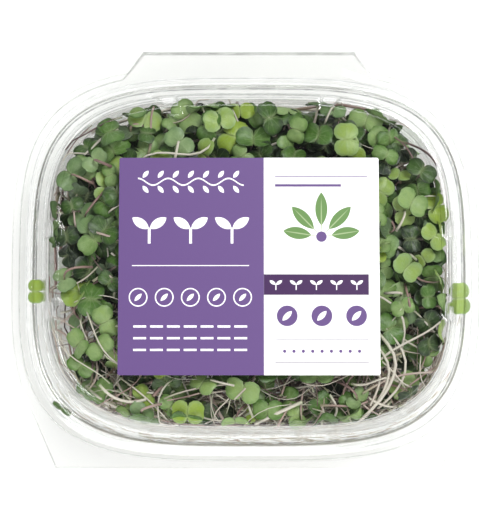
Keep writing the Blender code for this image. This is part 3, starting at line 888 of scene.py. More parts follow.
def pair_template(spokes, rings):
    """Both lobes of a pair: plan places, which lobe each is on, and the faces, facing up."""
    turn = np.arange(spokes) * 2 * math.pi / spokes
    ring = np.array(rings)[:, None]
    x, y = lobe_plan(turn[None], ring)
    plan = np.vstack([[(LOBE_MIDDLE, 0.0)], np.stack([x, y], axis=-1).reshape(-1, 2)])
    spoke = np.arange(spokes)
    following = (spoke + 1) % spokes
    centre = np.stack([0 * spoke, 1 + spoke, 1 + following], axis=1)
    quads = [np.stack([1 + k * spokes + spoke, 1 + (k + 1) * spokes + spoke,
                       1 + (k + 1) * spokes + following, 1 + k * spokes + following], axis=1)
             for k in range(len(rings) - 1)]
    quads = np.vstack(quads) if quads else np.zeros((0, 4), int)
    size = len(plan)
    side = np.repeat((1, -1), size)
    places = np.vstack([plan, plan * (-1, 1)])
    fans = np.vstack([centre, centre[:, ::-1] + size])
    strips = np.vstack([quads, quads[:, ::-1] + size])
    return places, side, [fans, strips]


SHAPE_KEYS = ("reach", "rise", "droop", "cup", "wave", "width", "phase")
PAIR = pair_template(SPOKES, LOBE_RINGS)
SAMPLES = pair_template(8, (1.0,))


def blade_points(template, shape):
    """Points of leaf pairs about their stalks, for arrays of shapes.

    Each lobe rises from the stalk by its rise times the distance along it, less its droop times the distance
    squared, plus its cup times the distance across to the power 1.5, plus a wave along its edge."""
    places, side, _ = template
    x, y = places[:, 0][None], places[:, 1][None]
    rise = np.where(side[None] > 0, shape["rise"][:, :1], shape["rise"][:, 1:])
    out = np.abs(x)
    angle = np.arctan2(y, out - LOBE_MIDDLE)
    far = np.hypot(out - LOBE_MIDDLE, y) / LOBE_RADIUS
    wave = shape["wave"][:, None] * np.sin(3 * angle + shape["phase"][:, None] + side[None]) * far**3
    lift = rise * out - shape["droop"][:, None] * out**2 + shape["cup"][:, None] * np.abs(y) ** 1.5 + wave
    shorten = 1 / np.sqrt(1 + rise**2)
    local = np.stack([x * shorten, y * shape["width"][:, None] + 0 * rise, lift * shorten], axis=-1)
    return shape["reach"][:, None, None] * local


def leaf_axes(normal, heading):
    """Axes of leaf pairs with these upper normals: the lobes' axis turned by heading about the normal."""
    normal = normal / np.linalg.norm(normal, axis=1, keepdims=True)
    helper = np.where(np.abs(normal[:, 2:]) < 0.9, (0.0, 0.0, 1.0), (1.0, 0.0, 0.0))
    first = np.cross(helper, normal)
    first /= np.linalg.norm(first, axis=1, keepdims=True)
    second = np.cross(normal, first)
    c, s = np.cos(heading)[:, None], np.sin(heading)[:, None]
    along = c * first + s * second
    return np.stack([along, np.cross(normal, along), normal], axis=1)


def draw_shapes(rng, number, reach, fold):
    """Random leaf shapes: reach, the rise of each lobe up to fold, droop, cup and edge wave."""
    return {
        "reach": rng.uniform(*reach, number),
        "rise": rng.uniform(-0.08, fold, (number, 2)),
        "droop": rng.uniform(-0.05, 0.48, number),
        "cup": rng.choice((-0.50, -0.25, 0.15, 0.45, 0.70), number) + rng.uniform(-0.1, 0.1, number),
        "wave": rng.uniform(0.0, 0.09, number),
        "width": rng.uniform(0.86, 1.14, number),
        "phase": rng.uniform(0, 2 * math.pi, number),
    }


def outline_share(points, spare=0.0):
    """How far out points lie in the space inside the tub: |x/a|^n + |y/b|^n, which is 1 at its outline."""
    half_x, half_y = space_half(points[..., 2])
    share_x = np.abs(points[..., 0] / (half_x - spare)) ** ROUNDNESS
    return share_x + np.abs(points[..., 1] / (half_y - spare)) ** ROUNDNESS


def within_space(points):
    """True for each row of points that lies inside the closed tub."""
    height = points[..., 2]
    return ((outline_share(points) < 1) & (height < LEAF_TOP) & (height > LEAF_FLOOR)).all(axis=-1)


class Heap:
    """The sprouts placed so far, with the sampled points that later ones keep clear of."""

    def __init__(self, rng, clearance):
        self.rng, self.clearance = rng, clearance
        self.taken = np.zeros((0, 3))
        self.sprouts = []

    def gaps(self, points):
        """Least distance from each row of points to what is already placed."""
        low, high = points.min(axis=(0, 1)) - 0.004, points.max(axis=(0, 1)) + 0.004
        near = self.taken[((self.taken > low) & (self.taken < high)).all(axis=1)]
        if not len(near):
            return np.full(len(points), np.inf)
        return np.linalg.norm(points[:, :, None] - near[None, None], axis=-1).min(axis=(1, 2))

    def place(self, spots, normals, reach, fold, tone):
        """Puts one sprout at the first of the spots and normals where it fits, if any."""
        number = len(spots)
        shape = draw_shapes(self.rng, number, reach, fold)
        axes = leaf_axes(normals, self.rng.uniform(0, 2 * math.pi, number))
        blades = blade_points(SAMPLES, shape) @ axes + spots[:, None]
        neck = spots[:, None] - axes[:, 2][:, None] * np.array([0.0015, 0.004])[None, :, None]
        points = np.concatenate([blades, neck], axis=1)
        fits = within_space(blades)
        if not fits.any():
            return False
        gaps = np.where(fits, self.gaps(points), -1.0)
        good = np.flatnonzero(gaps > self.clearance)
        chosen = good[0] if len(good) else int(np.argmax(gaps))
        if gaps[chosen] < 0.6 * self.clearance:
            return False
        self.taken = np.vstack([self.taken, points[chosen]])
        one = {key: value[chosen] for key, value in shape.items()}
        self.sprouts.append({"place": spots[chosen], "axes": axes[chosen], "tone": tone, **one})
        return True


def leaf_tone(rng):
    """A leaf's tone from 0, dark, to 1, yellow-green. Most lie in the middle."""
    kind = rng.uniform()
    if kind < 0.22:
        return rng.uniform(0.05, 0.25)
    if kind < 0.62:
        return rng.uniform(0.30, 0.52)
    if kind < 0.86:
        return rng.uniform(0.55, 0.72)
    return rng.uniform(0.78, 0.98)


# Random places tried for each sprout, and the step of their grid in plan
TRIES = 22
SITE_STEP = (0.0094, 0.0082)
# Depths of the layers below the heap's top, and how far each leans at most, in radians
LAYERS = (0.0, 0.0028, 0.0058, 0.0092, 0.0135)
LAYER_LEAN = (0.62, 0.85, 0.95, 1.05, 1.10)
# Heights of the rows along the walls, and the step along each
WALL_ROWS = (0.0120, 0.0185, 0.0250, 0.0310, 0.0420)
WALL_STEP = 0.0130


def staggered_sites(shift):
    """A staggered grid of places in plan that covers the tub, shifted by a share of its step."""
    rows, columns = int(0.062 / SITE_STEP[1]) + 1, int(0.074 / SITE_STEP[0]) + 1
    row, column = np.mgrid[-rows:rows + 1, -columns:columns + 1]
    x = (column + 0.5 * (row % 2) + shift) * SITE_STEP[0]
    y = (row + shift) * SITE_STEP[1]
    return np.stack([x.ravel(), y.ravel()], axis=1)


def fill_walls(heap, reach):
    """Sprouts pressed against the clear walls, which show from the sides."""
    for height in WALL_ROWS:
        half_x, half_y = (float(h) for h in space_half(np.array([height]))[:, 0])
        for turn in np.arange(0, 2 * math.pi, WALL_STEP / 0.07):
            turns = turn + heap.rng.uniform(-0.11, 0.11, TRIES)
            heights = height + heap.rng.uniform(-0.0035, 0.0035, TRIES)
            inset = heap.rng.uniform(0.0012, 0.0040, TRIES)
            far = ring_radius(turns, half_x - inset, half_y - inset)
            spots = np.stack([far * np.cos(turns), far * np.sin(turns), heights], axis=1)
            if heap.rng.uniform() < 1.2 * bareness(*spots[0, :2]) + 0.10:
                continue
            outward = np.stack([
                np.sign(spots[:, 0]) * np.abs(spots[:, 0] / half_x) ** (ROUNDNESS - 1) / half_x,
                np.sign(spots[:, 1]) * np.abs(spots[:, 1] / half_y) ** (ROUNDNESS - 1) / half_y,
                np.zeros(TRIES),
            ], axis=1)
            outward /= np.linalg.norm(outward, axis=1, keepdims=True)
            lean = heap.rng.uniform(-0.30, 0.30, (TRIES, 3)) + (0.0, 0.0, 0.25)
            heap.place(spots, outward + lean, reach, 0.30, leaf_tone(heap.rng))


def fill_layers(heap, reach):
    """Sprouts in layers below the lid, leaning more the deeper they lie, with painted shade making deeper
    layers and the heap's hollows darker.
    """
    for number, (depth, lean) in enumerate(zip(LAYERS, LAYER_LEAN)):
        for site in staggered_sites(0.37 * number):
            spread = np.abs(site / (0.0745, 0.0615)) ** ROUNDNESS
            hump, stems = humps(*site), stemmy(*site)
            bare = 1.3 * bareness(*site) + (0.72 * stems if number < 3 else 0.15 + 0.8 * stems)
            if number < 2:
                bare += 0.12 + 0.30 * (hump < -0.35)
            if spread.sum() > 1 or heap.rng.uniform() < bare:
                continue
            spots = np.column_stack([
                site + heap.rng.uniform(-0.0035, 0.0035, (TRIES, 2)),
                canopy_height(*site) - depth + heap.rng.uniform(-0.0018, 0.0014, TRIES),
            ])
            tilt = heap.rng.uniform(0.0, lean, TRIES)
            way = heap.rng.uniform(0, 2 * math.pi, TRIES)
            normals = np.stack([np.sin(tilt) * np.cos(way), np.sin(tilt) * np.sin(way), np.cos(tilt)], axis=1)
            flip = heap.rng.uniform(size=TRIES) < 0.10
            normals[flip] *= -1
            # Painted shade: the tone falls with each deeper layer and in the heap's hollows; it rises where
            # stems show
            tone = leaf_tone(heap.rng) + 0.05 - 0.17 * number + 0.12 * hump + 0.36 * stems
            heap.place(spots, normals, reach, 0.45 if number else 0.30, tone)


# Points along a stalk and along a placed stem, points round any of them, and the ledge stems' radius
STALK_RINGS = 7
PLACED_RINGS = 11
STEM_SIDES = 5
LEDGE_RADIUS = 0.00013


def stalk_paths(sprouts, rng):
    """Centre lines of the sprouts' stalks, as an array of points: a quadratic curve that leaves the leaf
    backwards along its normal, then bends down and sideways, drawn in so that it stays inside the tub."""
    places = np.array([s["place"] for s in sprouts])
    normals = np.array([s["axes"][2] for s in sprouts])
    number = len(sprouts)
    long = rng.uniform(0.014, 0.026, number)[:, None]
    way = np.arctan2(-places[:, 1], -places[:, 0]) + rng.uniform(-1.4, 1.4, number)
    sideways = np.stack([np.cos(way), np.sin(way), np.zeros(number)], axis=1)
    down = np.array([0.0, 0.0, -1.0])
    second = places - normals * long * 0.40
    third = second + sideways * long * 0.45 + down * long * 0.35
    step = np.linspace(0, 1, STALK_RINGS)[None, :, None]
    bend = (1 - step) ** 2 * places[:, None] + 2 * step * (1 - step) * second[:, None]
    return settle(bend + step**2 * third[:, None])


def settle(path):
    """Paths drawn in towards the tub's middle and up off its base, so that every point is inside the tub."""
    path = path.copy()
    path[..., 2] = np.clip(path[..., 2], 0.0032, LID_TOP - 0.0022)
    path[..., :2] *= np.minimum(1.0, outline_share(path, 0.0006) ** (-1 / ROUNDNESS))[..., None]
    return path

def tubes(paths, radii):
    """Tubes along an array of paths, as one mesh's points, faces and plan places.

    At each path point a ring of STEM_SIDES points lies across the path, at the radius there. Its axes are
    the cross products of the path's direction with a fixed vector that the path isn't along. Caps close the
    ends."""
    number, rings = paths.shape[:2]
    ahead = np.gradient(paths, axis=1)
    ahead /= np.linalg.norm(ahead, axis=2, keepdims=True) + 1e-12
    mean = ahead.mean(axis=1)
    helper = np.eye(3)[np.argmin(np.abs(mean), axis=1)][:, None]
    across = np.cross(ahead, helper)
    across /= np.linalg.norm(across, axis=2, keepdims=True)
    up = np.cross(ahead, across)
    turn = np.arange(STEM_SIDES) * 2 * math.pi / STEM_SIDES
    ring = np.cos(turn)[:, None] * across[:, :, None] + np.sin(turn)[:, None] * up[:, :, None]
    points = paths[:, :, None] + radii[:, :, None, None] * ring
    quads = grid_faces(rings, STEM_SIDES, True)
    offset = (np.arange(number) * rings * STEM_SIDES)[:, None, None]
    cap = np.arange(STEM_SIDES)
    caps = np.stack([cap[::-1], (rings - 1) * STEM_SIDES + cap])
    along = np.linspace(0, 1, rings)[None, :, None] + 0 * points[..., 0]
    round_it = turn[None, None] / (2 * math.pi) + 0 * points[..., 0]
    faces = [(quads[None] + offset).reshape(-1, 4), (caps[None] + offset).reshape(-1, STEM_SIDES)]
    return points.reshape(-1, 3), faces, np.stack([along, round_it], axis=-1).reshape(-1, 2)


def stem_object(name, paths, radii, tones, material):
    """One mesh of stems from their paths, with a radius for each stem, or for each of its points."""
    points, faces, plan = tubes(paths, radii)
    obj = new_object(name, points, faces, material)
    set_uv(obj, plan)
    set_attribute(obj, "tone", np.repeat(tones, paths.shape[1] * STEM_SIDES))
    return obj


def leaf_object(name, sprouts, materials):
    """One mesh of leaf pairs, each lobe a disc of 28 faces, thickened, with its underside paler."""
    shape = {key: np.array([s[key] for s in sprouts]) for key in SHAPE_KEYS}
    axes = np.array([s["axes"] for s in sprouts])
    places = np.array([s["place"] for s in sprouts])
    points = blade_points(PAIR, shape) @ axes + places[:, None]
    plan, _, faces = PAIR
    offset = (np.arange(len(sprouts)) * len(plan))[:, None, None]
    repeated = [(f[None] + offset).reshape(-1, f.shape[1]) for f in faces]
    obj = new_object(name, points.reshape(-1, 3), repeated, *materials)
    set_uv(obj, np.tile(np.abs(plan * (1, 0)) + plan * (0, 1), (len(sprouts), 1)))
    set_attribute(obj, "tone", np.repeat([s["tone"] for s in sprouts], len(plan)))
    thicken(obj, settings("greens").leaf_thick, 0.0, 1)
    crisp = obj.modifiers.new("crisp_edges", "WEIGHTED_NORMAL")
    crisp.weight = 80
    return obj


def wandering_paths(rng, starts, ways, longs, rings, curl):
    """Paths of loose stems: each starts at a point and turns by a slow wave as it goes, so that it curves one
    way and then the other."""
    step = np.linspace(0, 1, rings)[None]
    each = (len(starts), 1)
    phase = rng.uniform(0, 2 * math.pi, each)
    bend = curl[:, None] * np.sin(phase + rng.uniform(2, 4, each) * step)
    heading = ways[:, None] + bend
    climb = rng.uniform(-0.18, 0.18, each) + 0.15 * np.cos(5 * step + 3 * bend)
    stride = longs[:, None] / (rings - 1)
    moves = np.stack([np.cos(heading), np.sin(heading), climb], axis=-1) * stride[..., None]
    return starts[:, None] + np.cumsum(moves, axis=1)


def tangle_paths(rng, number):
    """Stems through the tub's lower part: two thirds lie along the walls and the rest across the middle."""
    height = rng.uniform(0.0035, 0.0350, number)
    turn = rng.uniform(-math.pi, math.pi, number)
    by_wall = rng.uniform(size=number) < 0.66
    inset = np.where(by_wall, rng.uniform(0.0004, 0.0050, number), rng.uniform(0.006, 0.030, number))
    half_x, half_y = space_half(height)
    far = ring_radius(turn, half_x - inset, half_y - inset)
    starts = np.stack([far * np.cos(turn), far * np.sin(turn), height], axis=1)
    handed = np.where(rng.uniform(size=number) < 0.5, 1, -1)
    ways = turn + math.pi / 2 * handed + rng.uniform(-0.5, 0.5, number)
    longs = rng.uniform(0.026, 0.055, number)
    paths = settle(wandering_paths(rng, starts, ways, longs, 11, rng.uniform(0.1, 0.7, number)))
    bare = bareness(paths[..., 0], paths[..., 1]).max(axis=1)
    return paths[rng.uniform(size=number) > 1.1 * bare]


# Stems that lie where the photograph shows them: points and radius in millimetres, then tone
LOOSE_STEMS = (
    (((21, -53, 47), (12, -57, 45), (1, -62, 41)), 0.75, 0.98),
    (((-15, -45, 47), (-10, -46.5, 48), (-5, -47.5, 47)), 0.45, 0.98),
    (((-57, -46, 45), (-52, -52, 45), (-44, -54, 44), (-38, -52, 43)), 0.60, 0.95),
    (((47, -26, 48), (58, -37, 47), (52, -51, 45), (40, -62, 40)), 0.65, 0.92),
    (((46, -30, 47), (55, -40, 47), (50, -52, 44), (43, -60, 40)), 0.55, 0.85),
    (((50, -24, 46), (61, -36, 46), (58, -48, 44), (47, -57, 41)), 0.50, 0.96),
    (((44, -34, 45), (51, -44, 46), (45, -56, 43)), 0.45, 0.75),
    (((-68, -39, 33), (-70, -45, 32), (-67, -50, 32), (-62, -54, 33)), 0.35, 0.62),
    (((-79, -11, 39.4), (-73, -9, 39.5), (-67, -7, 42)), 0.55, 0.30),
    (((-67, -7, 42), (-70, -11, 40), (-68, -18, 38), (-62, -24, 36)), 0.55, 0.30),
    (((30, -50, 45), (34, -56, 43), (31, -61, 40)), 0.50, 0.88),
    (((-30, -55, 43), (-24, -59, 42), (-20, -62, 40)), 0.60, 0.90),
    (((-6, -53, 45), (-2, -49, 46), (3, -44, 46)), 0.40, 0.70),
    (((57, 47, 44), (64, 44.5, 46), (70, 41, 45), (73, 36, 42)), 0.42, 0.12),
    (((54, 50, 43), (60, 45, 45), (63, 39, 46)), 0.36, 0.20),
    (((-61, 55, 42), (-68, 50.5, 41), (-73, 43, 40)), 0.22, 0.28),
    (((-69, -17, 40), (-62, -10, 42), (-55, -6, 44)), 0.35, 0.18),
)

# Leaf pairs trapped under the lid's rim: place in millimetres, turn in plan, reach in millimetres, share of
# the usual width, and tone
RIM_LEAVES = (
    (-81.4, -10.9, 39.75, 1.57, 5.0, 1.0, 0.93),
    (80.4, -13.6, 39.75, 1.62, 6.6, 1.0, 0.82),
    (-71.0, -55.5, 38.2, -0.62, 4.6, 0.4, 0.35),
)


def smooth_paths(stems, rings):
    """Paths through each stem's points, which all lie evenly along it: for each point its bell-shaped share
    falls off with the square of the distance along, and the shares add up to one."""
    paths = []
    for points, _, _ in stems:
        points = np.array(points, float) / 1000
        knots = np.linspace(0, 1, len(points))
        step = np.linspace(-0.06, 1.06, rings)
        share = np.exp(-((step[:, None] - knots[None]) * len(points) / 1.15) ** 2)
        paths.append(share @ points / share.sum(axis=1, keepdims=True))
    return settle(np.array(paths))


def scattered_stems(rng, number):
    """Loose stems on and among the leaves, most where the heap is stemmy, at random headings and slopes."""
    spots = rng.uniform((-0.074, -0.062), (0.074, 0.060), (number * 12, 2))
    chance = 0.05 + stemmy(spots[:, 0], spots[:, 1]) - bareness(spots[:, 0], spots[:, 1])
    spots = spots[rng.uniform(size=len(spots)) < chance][:number]
    heights = canopy_height(spots[:, 0], spots[:, 1]) - rng.uniform(0.0005, 0.0140, len(spots))
    starts = np.column_stack([spots, heights])
    ways = rng.uniform(0, 2 * math.pi, len(spots))
    longs = rng.uniform(0.012, 0.034, len(spots))
    return settle(wandering_paths(rng, starts, ways, longs, 9, rng.uniform(0.1, 0.9, len(spots))))


def ledge_stems(rng, number):
    """Stems caught on the tub's ledge under the lid's foot, mostly along the front. Each follows the wall."""
    turn = rng.normal(-math.pi / 2, 0.55, number)
    step = np.linspace(-0.5, 0.5, 5)[None]
    sweep = rng.uniform(0.02, 0.07, number)[:, None] * step
    inset = rng.uniform(0.0092, 0.0128, number)[:, None]
    inset = inset + rng.uniform(-0.0008, 0.0002, number)[:, None] * step
    ways = turn[:, None] + sweep
    far = ring_radius(ways, FLANGE_HALF[0] - inset, FLANGE_HALF[1] - inset)
    return np.stack([far * np.cos(ways), far * np.sin(ways), RIM_Z - 0.0002 + 0 * far], axis=-1)


# Operators


class PieceOperator:
    """What every operator of the tray shares."""

    bl_options = {"REGISTER", "UNDO"}


class TRAY_OT_tub(PieceOperator, bpy.types.Operator):
    """Makes the tub: a formed sheet with a flange, a front lip, sloped walls and a standing ring"""

    bl_idname = "tray.tub"
    bl_label = "Tub"

    def execute(self, context):
        tub = formed_sheet("tub_sheet", TUB_SECTION, FLANGE_HALF, (FLAP, LIP), tub_relief)
        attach(tub, "tub")
        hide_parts("tub")
        return {"FINISHED"}


class TRAY_OT_lid(PieceOperator, bpy.types.Operator):
    """Makes the lid: a formed sheet with a snap ring and a flat-topped dome that steps in at narrow lugs"""

    bl_idname = "tray.lid"
    bl_label = "Lid"

    def execute(self, context):
        lid = formed_sheet("lid_sheet", LID_SECTION, LID_HALF, (FLAP,), lid_relief)
        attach(lid, "lid")
        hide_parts("lid")
        return {"FINISHED"}


class TRAY_OT_hinge(PieceOperator, bpy.types.Operator):
    """Makes the living hinge, the thin strip of sheet between the tub's flap and the lid's, as a fixed bowed
    strip
    """

    bl_idname = "tray.hinge"
    bl_label = "Hinge fold"

    def execute(self, context):
        """The strip is a half circle across the crease, from below the tub's flap edge to above the lid's."""
        rows, columns = 9, 41
        half_long, bulge, rise = FLAP[0][0] - 0.0004, 0.00035, 0.0006
        turn = np.linspace(-0.5, 0.5, rows)[:, None] * math.pi
        along = np.linspace(-half_long, half_long, columns)[None]
        flap_y = FLAP[0][1] - 0.0001
        y, z = flap_y + bulge * np.cos(turn), HINGE.z + rise * np.sin(turn)
        points = np.stack([along + 0 * turn, y + 0 * along, z + 0 * along], axis=-1).reshape(-1, 3)
        # The crease gets the same painted dark line along its fold
        plastic = clear_sheet_material("hinge_plastic", [(0.5, 0.8, 0.2)])
        strip = new_object("hinge_fold", points, [grid_faces(rows, columns, False)[:, ::-1]], plastic)
        set_attribute(strip, "run", np.repeat(np.linspace(0, 1, rows), columns))
        thicken(strip, 0.0002)
        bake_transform(strip)
        return {"FINISHED"}


class TRAY_OT_sticker(PieceOperator, bpy.types.Operator):
    """Makes the sticker, a thin sheet with round corners and a plain generic print, on the lid's panel"""

    bl_idname = "tray.sticker"
    bl_label = "Sticker"

    def execute(self, context):
        """Its outline is a rectangle whose corners are quarter circles, at three insets: low edge, high edge
        and rounded top edge, closed to the middle above and below."""
        look = settings("sticker")
        corner, rounding, columns = 0.0007, 0.00008, 40
        turn = np.linspace(0, 2 * math.pi, columns, endpoint=False) + math.pi / columns
        reach = np.array([look.width / 2 - corner, look.depth / 2 - corner])
        way = np.stack([np.cos(turn), np.sin(turn)], axis=1)
        low, high = LABEL_LOW.z, LABEL_HIGH.z
        insets = ((0.0, low), (0.0, high - rounding), (rounding, high))
        rings = [np.column_stack([np.sign(way) * reach + (corner - inset) * way, np.full(columns, height)])
                 for inset, height in insets]
        points = np.vstack(rings + [[(0, 0, low), (0, 0, high)]]) + (LABEL_MIDDLE.x, LABEL_MIDDLE.y, 0)
        middle = len(rings) * columns
        fans = np.vstack([
            fan_faces(0, columns, middle, False), fan_faces(middle - columns, columns, middle + 1)
        ])
        sticker = new_object(
            "sticker", points, [fans, grid_faces(len(rings), columns, True)],
            sticker_material(), sticker_back_material()
        )
        underneath = np.arange(len(sticker.data.polygons)) < columns
        sticker.data.polygons.foreach_set("material_index", underneath.astype(np.int32))
        sticker.data.set_sharp_from_angle(angle=math.radians(30))
        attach(sticker, "lid")
        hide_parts("label")
        return {"FINISHED"}


class TRAY_OT_sprouts(PieceOperator, bpy.types.Operator):
    """Fills the tub with sprouts, in one mesh of leaves and one of stalks for each bunch"""

    bl_idname = "tray.sprouts"
    bl_label = "Sprouts"

    def execute(self, context):
        look = settings("greens")
        rng = np.random.default_rng(look.seed)
        heap = Heap(rng, look.clearance)
        reach = (look.reach_low, look.reach_high)
        fill_layers(heap, reach)
        fill_walls(heap, reach)
        leaf_faces = (leaf_material("leaf_top", 0.035), leaf_material("leaf_under", 0.32))
        stem = stem_material()
        places = np.array([s["place"] for s in heap.sprouts])
        nearest = np.linalg.norm(places[:, None, :2] - BUNCH_MIDDLES[None, :, :2], axis=2).argmin(axis=1)
        for number, node in enumerate(BUNCHES):
            sprouts = [heap.sprouts[i] for i in np.flatnonzero(nearest == number)]
            leaves = leaf_object(node.replace("sprouts", "leaves"), sprouts, leaf_faces)
            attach(leaves, "tub")
            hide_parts(node)
            paths = stalk_paths(sprouts, rng)
            radii = look.stalk_radius * np.linspace(0.85, 1.15, STALK_RINGS)[None]
            radii = radii * rng.uniform(0.8, 1.25, (len(sprouts), 1))
            tones = rng.uniform(0.25, 0.95, len(sprouts))
            stalks = stem_object(node.replace("sprouts", "stalks"), paths, radii, tones, stem)
            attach(stalks, "tub")
        trapped = leaf_object("rim_leaves", self.trapped(rng), leaf_faces)
        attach(trapped, "tub")
        return {"FINISHED"}

    def trapped(self, rng):
        """The flat leaf pairs caught between the lid's rim and the tub's."""
        pairs = []
        for x, y, z, turn, reach, width, tone in RIM_LEAVES:
            shape = {key: 0.1 * value[0] for key, value in draw_shapes(rng, 1, (0.01, 0.01), 0.0).items()}
            shape.update(reach=reach / 1000, width=width)
            along = np.array([math.cos(turn), math.sin(turn), 0.0])
            axes = np.array([along, np.cross((0.0, 0.0, 1.0), along), (0.0, 0.0, 1.0)])
            pairs.append({"place": np.array([x, y, z]) / 1000, "axes": axes, "tone": tone, **shape})
        return pairs


class TRAY_OT_tangle(PieceOperator, bpy.types.Operator):
    """Makes the tangle of cut stems in the tub's bottom, with finer dark ones among them, a dark middle that
    is partly matted stems and partly painted shade, and loose stems on the heap and on the tub's ledge"""

    bl_idname = "tray.tangle"
    bl_label = "Stem tangle"

    def execute(self, context):
        look = settings("greens")
        rng = np.random.default_rng(look.seed + 1)
        stem = bpy.data.materials["cut_stem"]
        paths = tangle_paths(rng, look.tangle_stems)
        radii = rng.uniform(0.00045, 0.00075, (len(paths), 1))
        stems = stem_object("tangle_stems", paths, radii, rng.uniform(0.2, 0.95, len(paths)), stem)
        paths = tangle_paths(rng, look.fine_roots)
        radii = rng.uniform(0.00018, 0.00032, (len(paths), 1))
        roots = stem_object("tangle_fine_stems", paths, radii, rng.uniform(0.0, 0.35, len(paths)), stem)
        _, radii, tones = zip(*LOOSE_STEMS)
        radii = np.array(radii)[:, None] / 1000
        placed = stem_object("placed_stems", smooth_paths(LOOSE_STEMS, PLACED_RINGS), radii, tones, stem)
        paths = scattered_stems(rng, look.strewn_stems)
        radii = rng.choice((0.00016, 0.00024, 0.00034, 0.00050), (len(paths), 1))
        radii = radii * np.linspace(1.1, 0.8, paths.shape[1])[None]
        tones = rng.choice((0.15, 0.45, 0.58, 0.70, 0.80, 0.90, 1.00), len(paths))
        strewn = stem_object("strewn_stems", paths, radii, tones, stem)
        paths = ledge_stems(rng, look.ledge_stems)
        tones = rng.uniform(0.50, 1.05, len(paths))
        caught = stem_object("ledge_stems", paths, np.full((1, 1), LEDGE_RADIUS), tones, stem)
        core = self.core()
        for piece in (stems, roots, placed, strewn, caught, core):
            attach(piece, "tub")
        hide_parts("stem_tangle")
        return {"FINISHED"}

    def core(self):
        """The dark middle, partly matted stems and partly painted shade: superellipse rings that bulge and
        dip by two sine waves, drawn in at the gaps and in front, closed above and below."""
        turn = np.linspace(0, 2 * math.pi, 96, endpoint=False)[None]
        height = np.array((0.0040, 0.0060, 0.0120, 0.0200, 0.0270, 0.0310, 0.0330))[:, None]
        drawn_in = np.array((0.0200, 0.0110, 0.0085, 0.0085, 0.0100, 0.0140, 0.0260))[:, None]
        half_x, half_y = space_half(height)
        bulge = 0.0012 * (np.sin(7 * turn + 300 * height) + np.sin(11 * turn - 500 * height))
        far = ring_radius(turn, half_x - drawn_in, half_y - drawn_in) + bulge
        far = far - 0.0100 * bareness(1.10 * far * np.cos(turn), 1.10 * far * np.sin(turn))
        far = far - 0.0140 * np.maximum(0.0, -np.sin(turn)) ** 2
        points = np.stack([far * np.cos(turn), far * np.sin(turn), height + 0 * far], axis=-1)
        rows, columns = points.shape[:2]
        points = np.vstack([points.reshape(-1, 3), [[0, 0, 0.0038], [0, 0, 0.0345]]])
        low, top = rows * columns, (rows - 1) * columns
        fans = np.vstack([fan_faces(0, columns, low, False), fan_faces(top, columns, low + 1)])
        faces = [grid_faces(rows, columns, True), fans]
        return new_object("tangle_core", points, faces, tangle_core_material())


# Each light's setting, with its place and its width in metres
LIGHTS = (("key", (0.60, 0.62, 1.45), 0.7), ("front", (-0.35, -1.15, 1.15), 1.5))


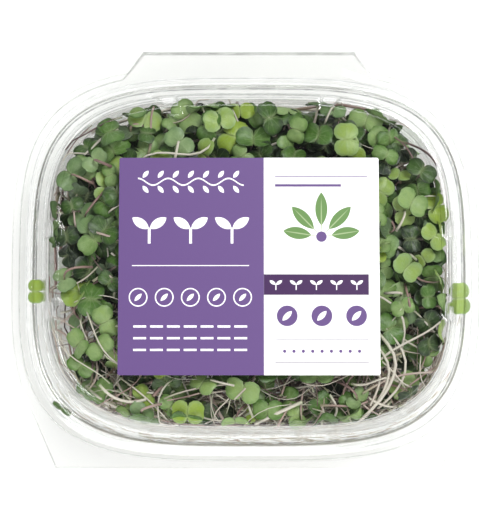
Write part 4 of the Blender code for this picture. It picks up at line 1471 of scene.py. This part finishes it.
class TRAY_OT_stage(PieceOperator, bpy.types.Operator):
    """Sets the pale floor, the soft lights and the camera that looks down from the front"""

    bl_idname = "tray.stage"
    bl_label = "Stage"

    def execute(self, context):
        look = settings("stage")
        scene = context.scene
        self.floor(look)
        self.lights(look, scene)
        self.camera(look, scene)
        scene.view_settings.view_transform = "Standard"
        scene.cycles.transparent_max_bounces = 32
        return {"FINISHED"}

    def floor(self, look):
        """A square that scatters light and gives off a little of its own."""
        half = look.floor_half
        corners = np.array([(-half, -half, 0), (half, -half, 0), (half, half, 0), (-half, half, 0)])
        material, tree, output = new_material("floor")
        skin = principled(
            tree, look.floor_tint, 0.9, Emission_Color=(1.0, 1.0, 1.0), Emission_Strength=look.table
        )
        feed(tree, output.inputs["Surface"], skin)
        floor = new_object("floor", corners, [np.array([[0, 1, 2, 3]])], material)

    def lights(self, look, scene):
        """The world is brightest at the horizon, as in a light tent. A key light stands behind the tray and a
        softer one in front, both above it."""
        world = bpy.data.worlds.new("light_tent")
        world.use_nodes = True
        tree = world.node_tree
        direction = tree.nodes.new("ShaderNodeTexCoord")
        parts = tree.nodes.new("ShaderNodeSeparateXYZ")
        tree.links.new(direction.outputs["Generated"], parts.inputs[0])
        height = Wire(tree, parts.outputs[2]).between(0.0, 0.62)
        background = tree.nodes["Background"]
        feed(tree, background.inputs["Color"], (0.985, 0.99, 1.0))
        feed(tree, background.inputs["Strength"], height * (look.sky - look.horizon) + look.horizon)
        scene.world = world
        for name, place, size in LIGHTS:
            light = bpy.data.lights.new(f"{name}_light", "AREA")
            light.energy, light.size = getattr(look, name), size
            lamp = bpy.data.objects.new(f"{name}_light", light)
            lamp.location = place
            lamp.rotation_euler = (Vector((0, 0, RIM_Z)) - lamp.location).to_track_quat("-Z", "Y").to_euler()
            scene.collection.objects.link(lamp)

    def camera(self, look, scene):
        """A camera that looks down on the rim from the front."""
        data = bpy.data.cameras.new("camera")
        data.lens = data.sensor_width * look.distance / look.frame_height
        camera = bpy.data.objects.new("camera", data)
        aim = Vector((0.0, look.aim_y, RIM_Z))
        back = Vector((0.0, -math.cos(look.elevation), math.sin(look.elevation)))
        camera.location = aim + back * look.distance
        camera.rotation_euler = (-back).to_track_quat("-Z", "Y").to_euler()
        scene.collection.objects.link(camera)
        scene.camera = camera


PIECE_OPERATORS = (
    TRAY_OT_tub, TRAY_OT_lid, TRAY_OT_hinge, TRAY_OT_sticker, TRAY_OT_sprouts, TRAY_OT_tangle, TRAY_OT_stage
)


class TRAY_PT_panel(bpy.types.Panel):
    """Lists the tray's settings and the operators that make its pieces"""

    bl_idname = "TRAY_PT_panel"
    bl_label = "Microgreens tray"
    bl_space_type = "VIEW_3D"
    bl_region_type = "UI"
    bl_category = "Greens"

    def draw(self, context):
        for group in SETTINGS:
            box = self.layout.box()
            box.label(text=group.capitalize())
            values = settings(group)
            for name in values.bl_rna.properties.keys():
                if name not in ("rna_type", "name"):
                    box.prop(values, name)
        for operator in PIECE_OPERATORS:
            self.layout.operator(operator.bl_idname)


CLASSES = (*SETTINGS.values(), *PIECE_OPERATORS, TRAY_PT_panel)


def register():
    """Registers the classes and gives the scene its settings."""
    for cls in CLASSES:
        bpy.utils.register_class(cls)
    for group, cls in SETTINGS.items():
        setattr(bpy.types.Scene, f"tray_{group}", bpy.props.PointerProperty(type=cls))


def unregister():
    """Takes the settings and the classes away again."""
    for group in SETTINGS:
        delattr(bpy.types.Scene, f"tray_{group}")
    for cls in reversed(CLASSES):
        bpy.utils.unregister_class(cls)


def main():
    """Makes every piece."""
    register()
    for operator in PIECE_OPERATORS:
        group, name = operator.bl_idname.split(".")
        getattr(getattr(bpy.ops, group), name)()


if __name__ == "__main__":
    main()
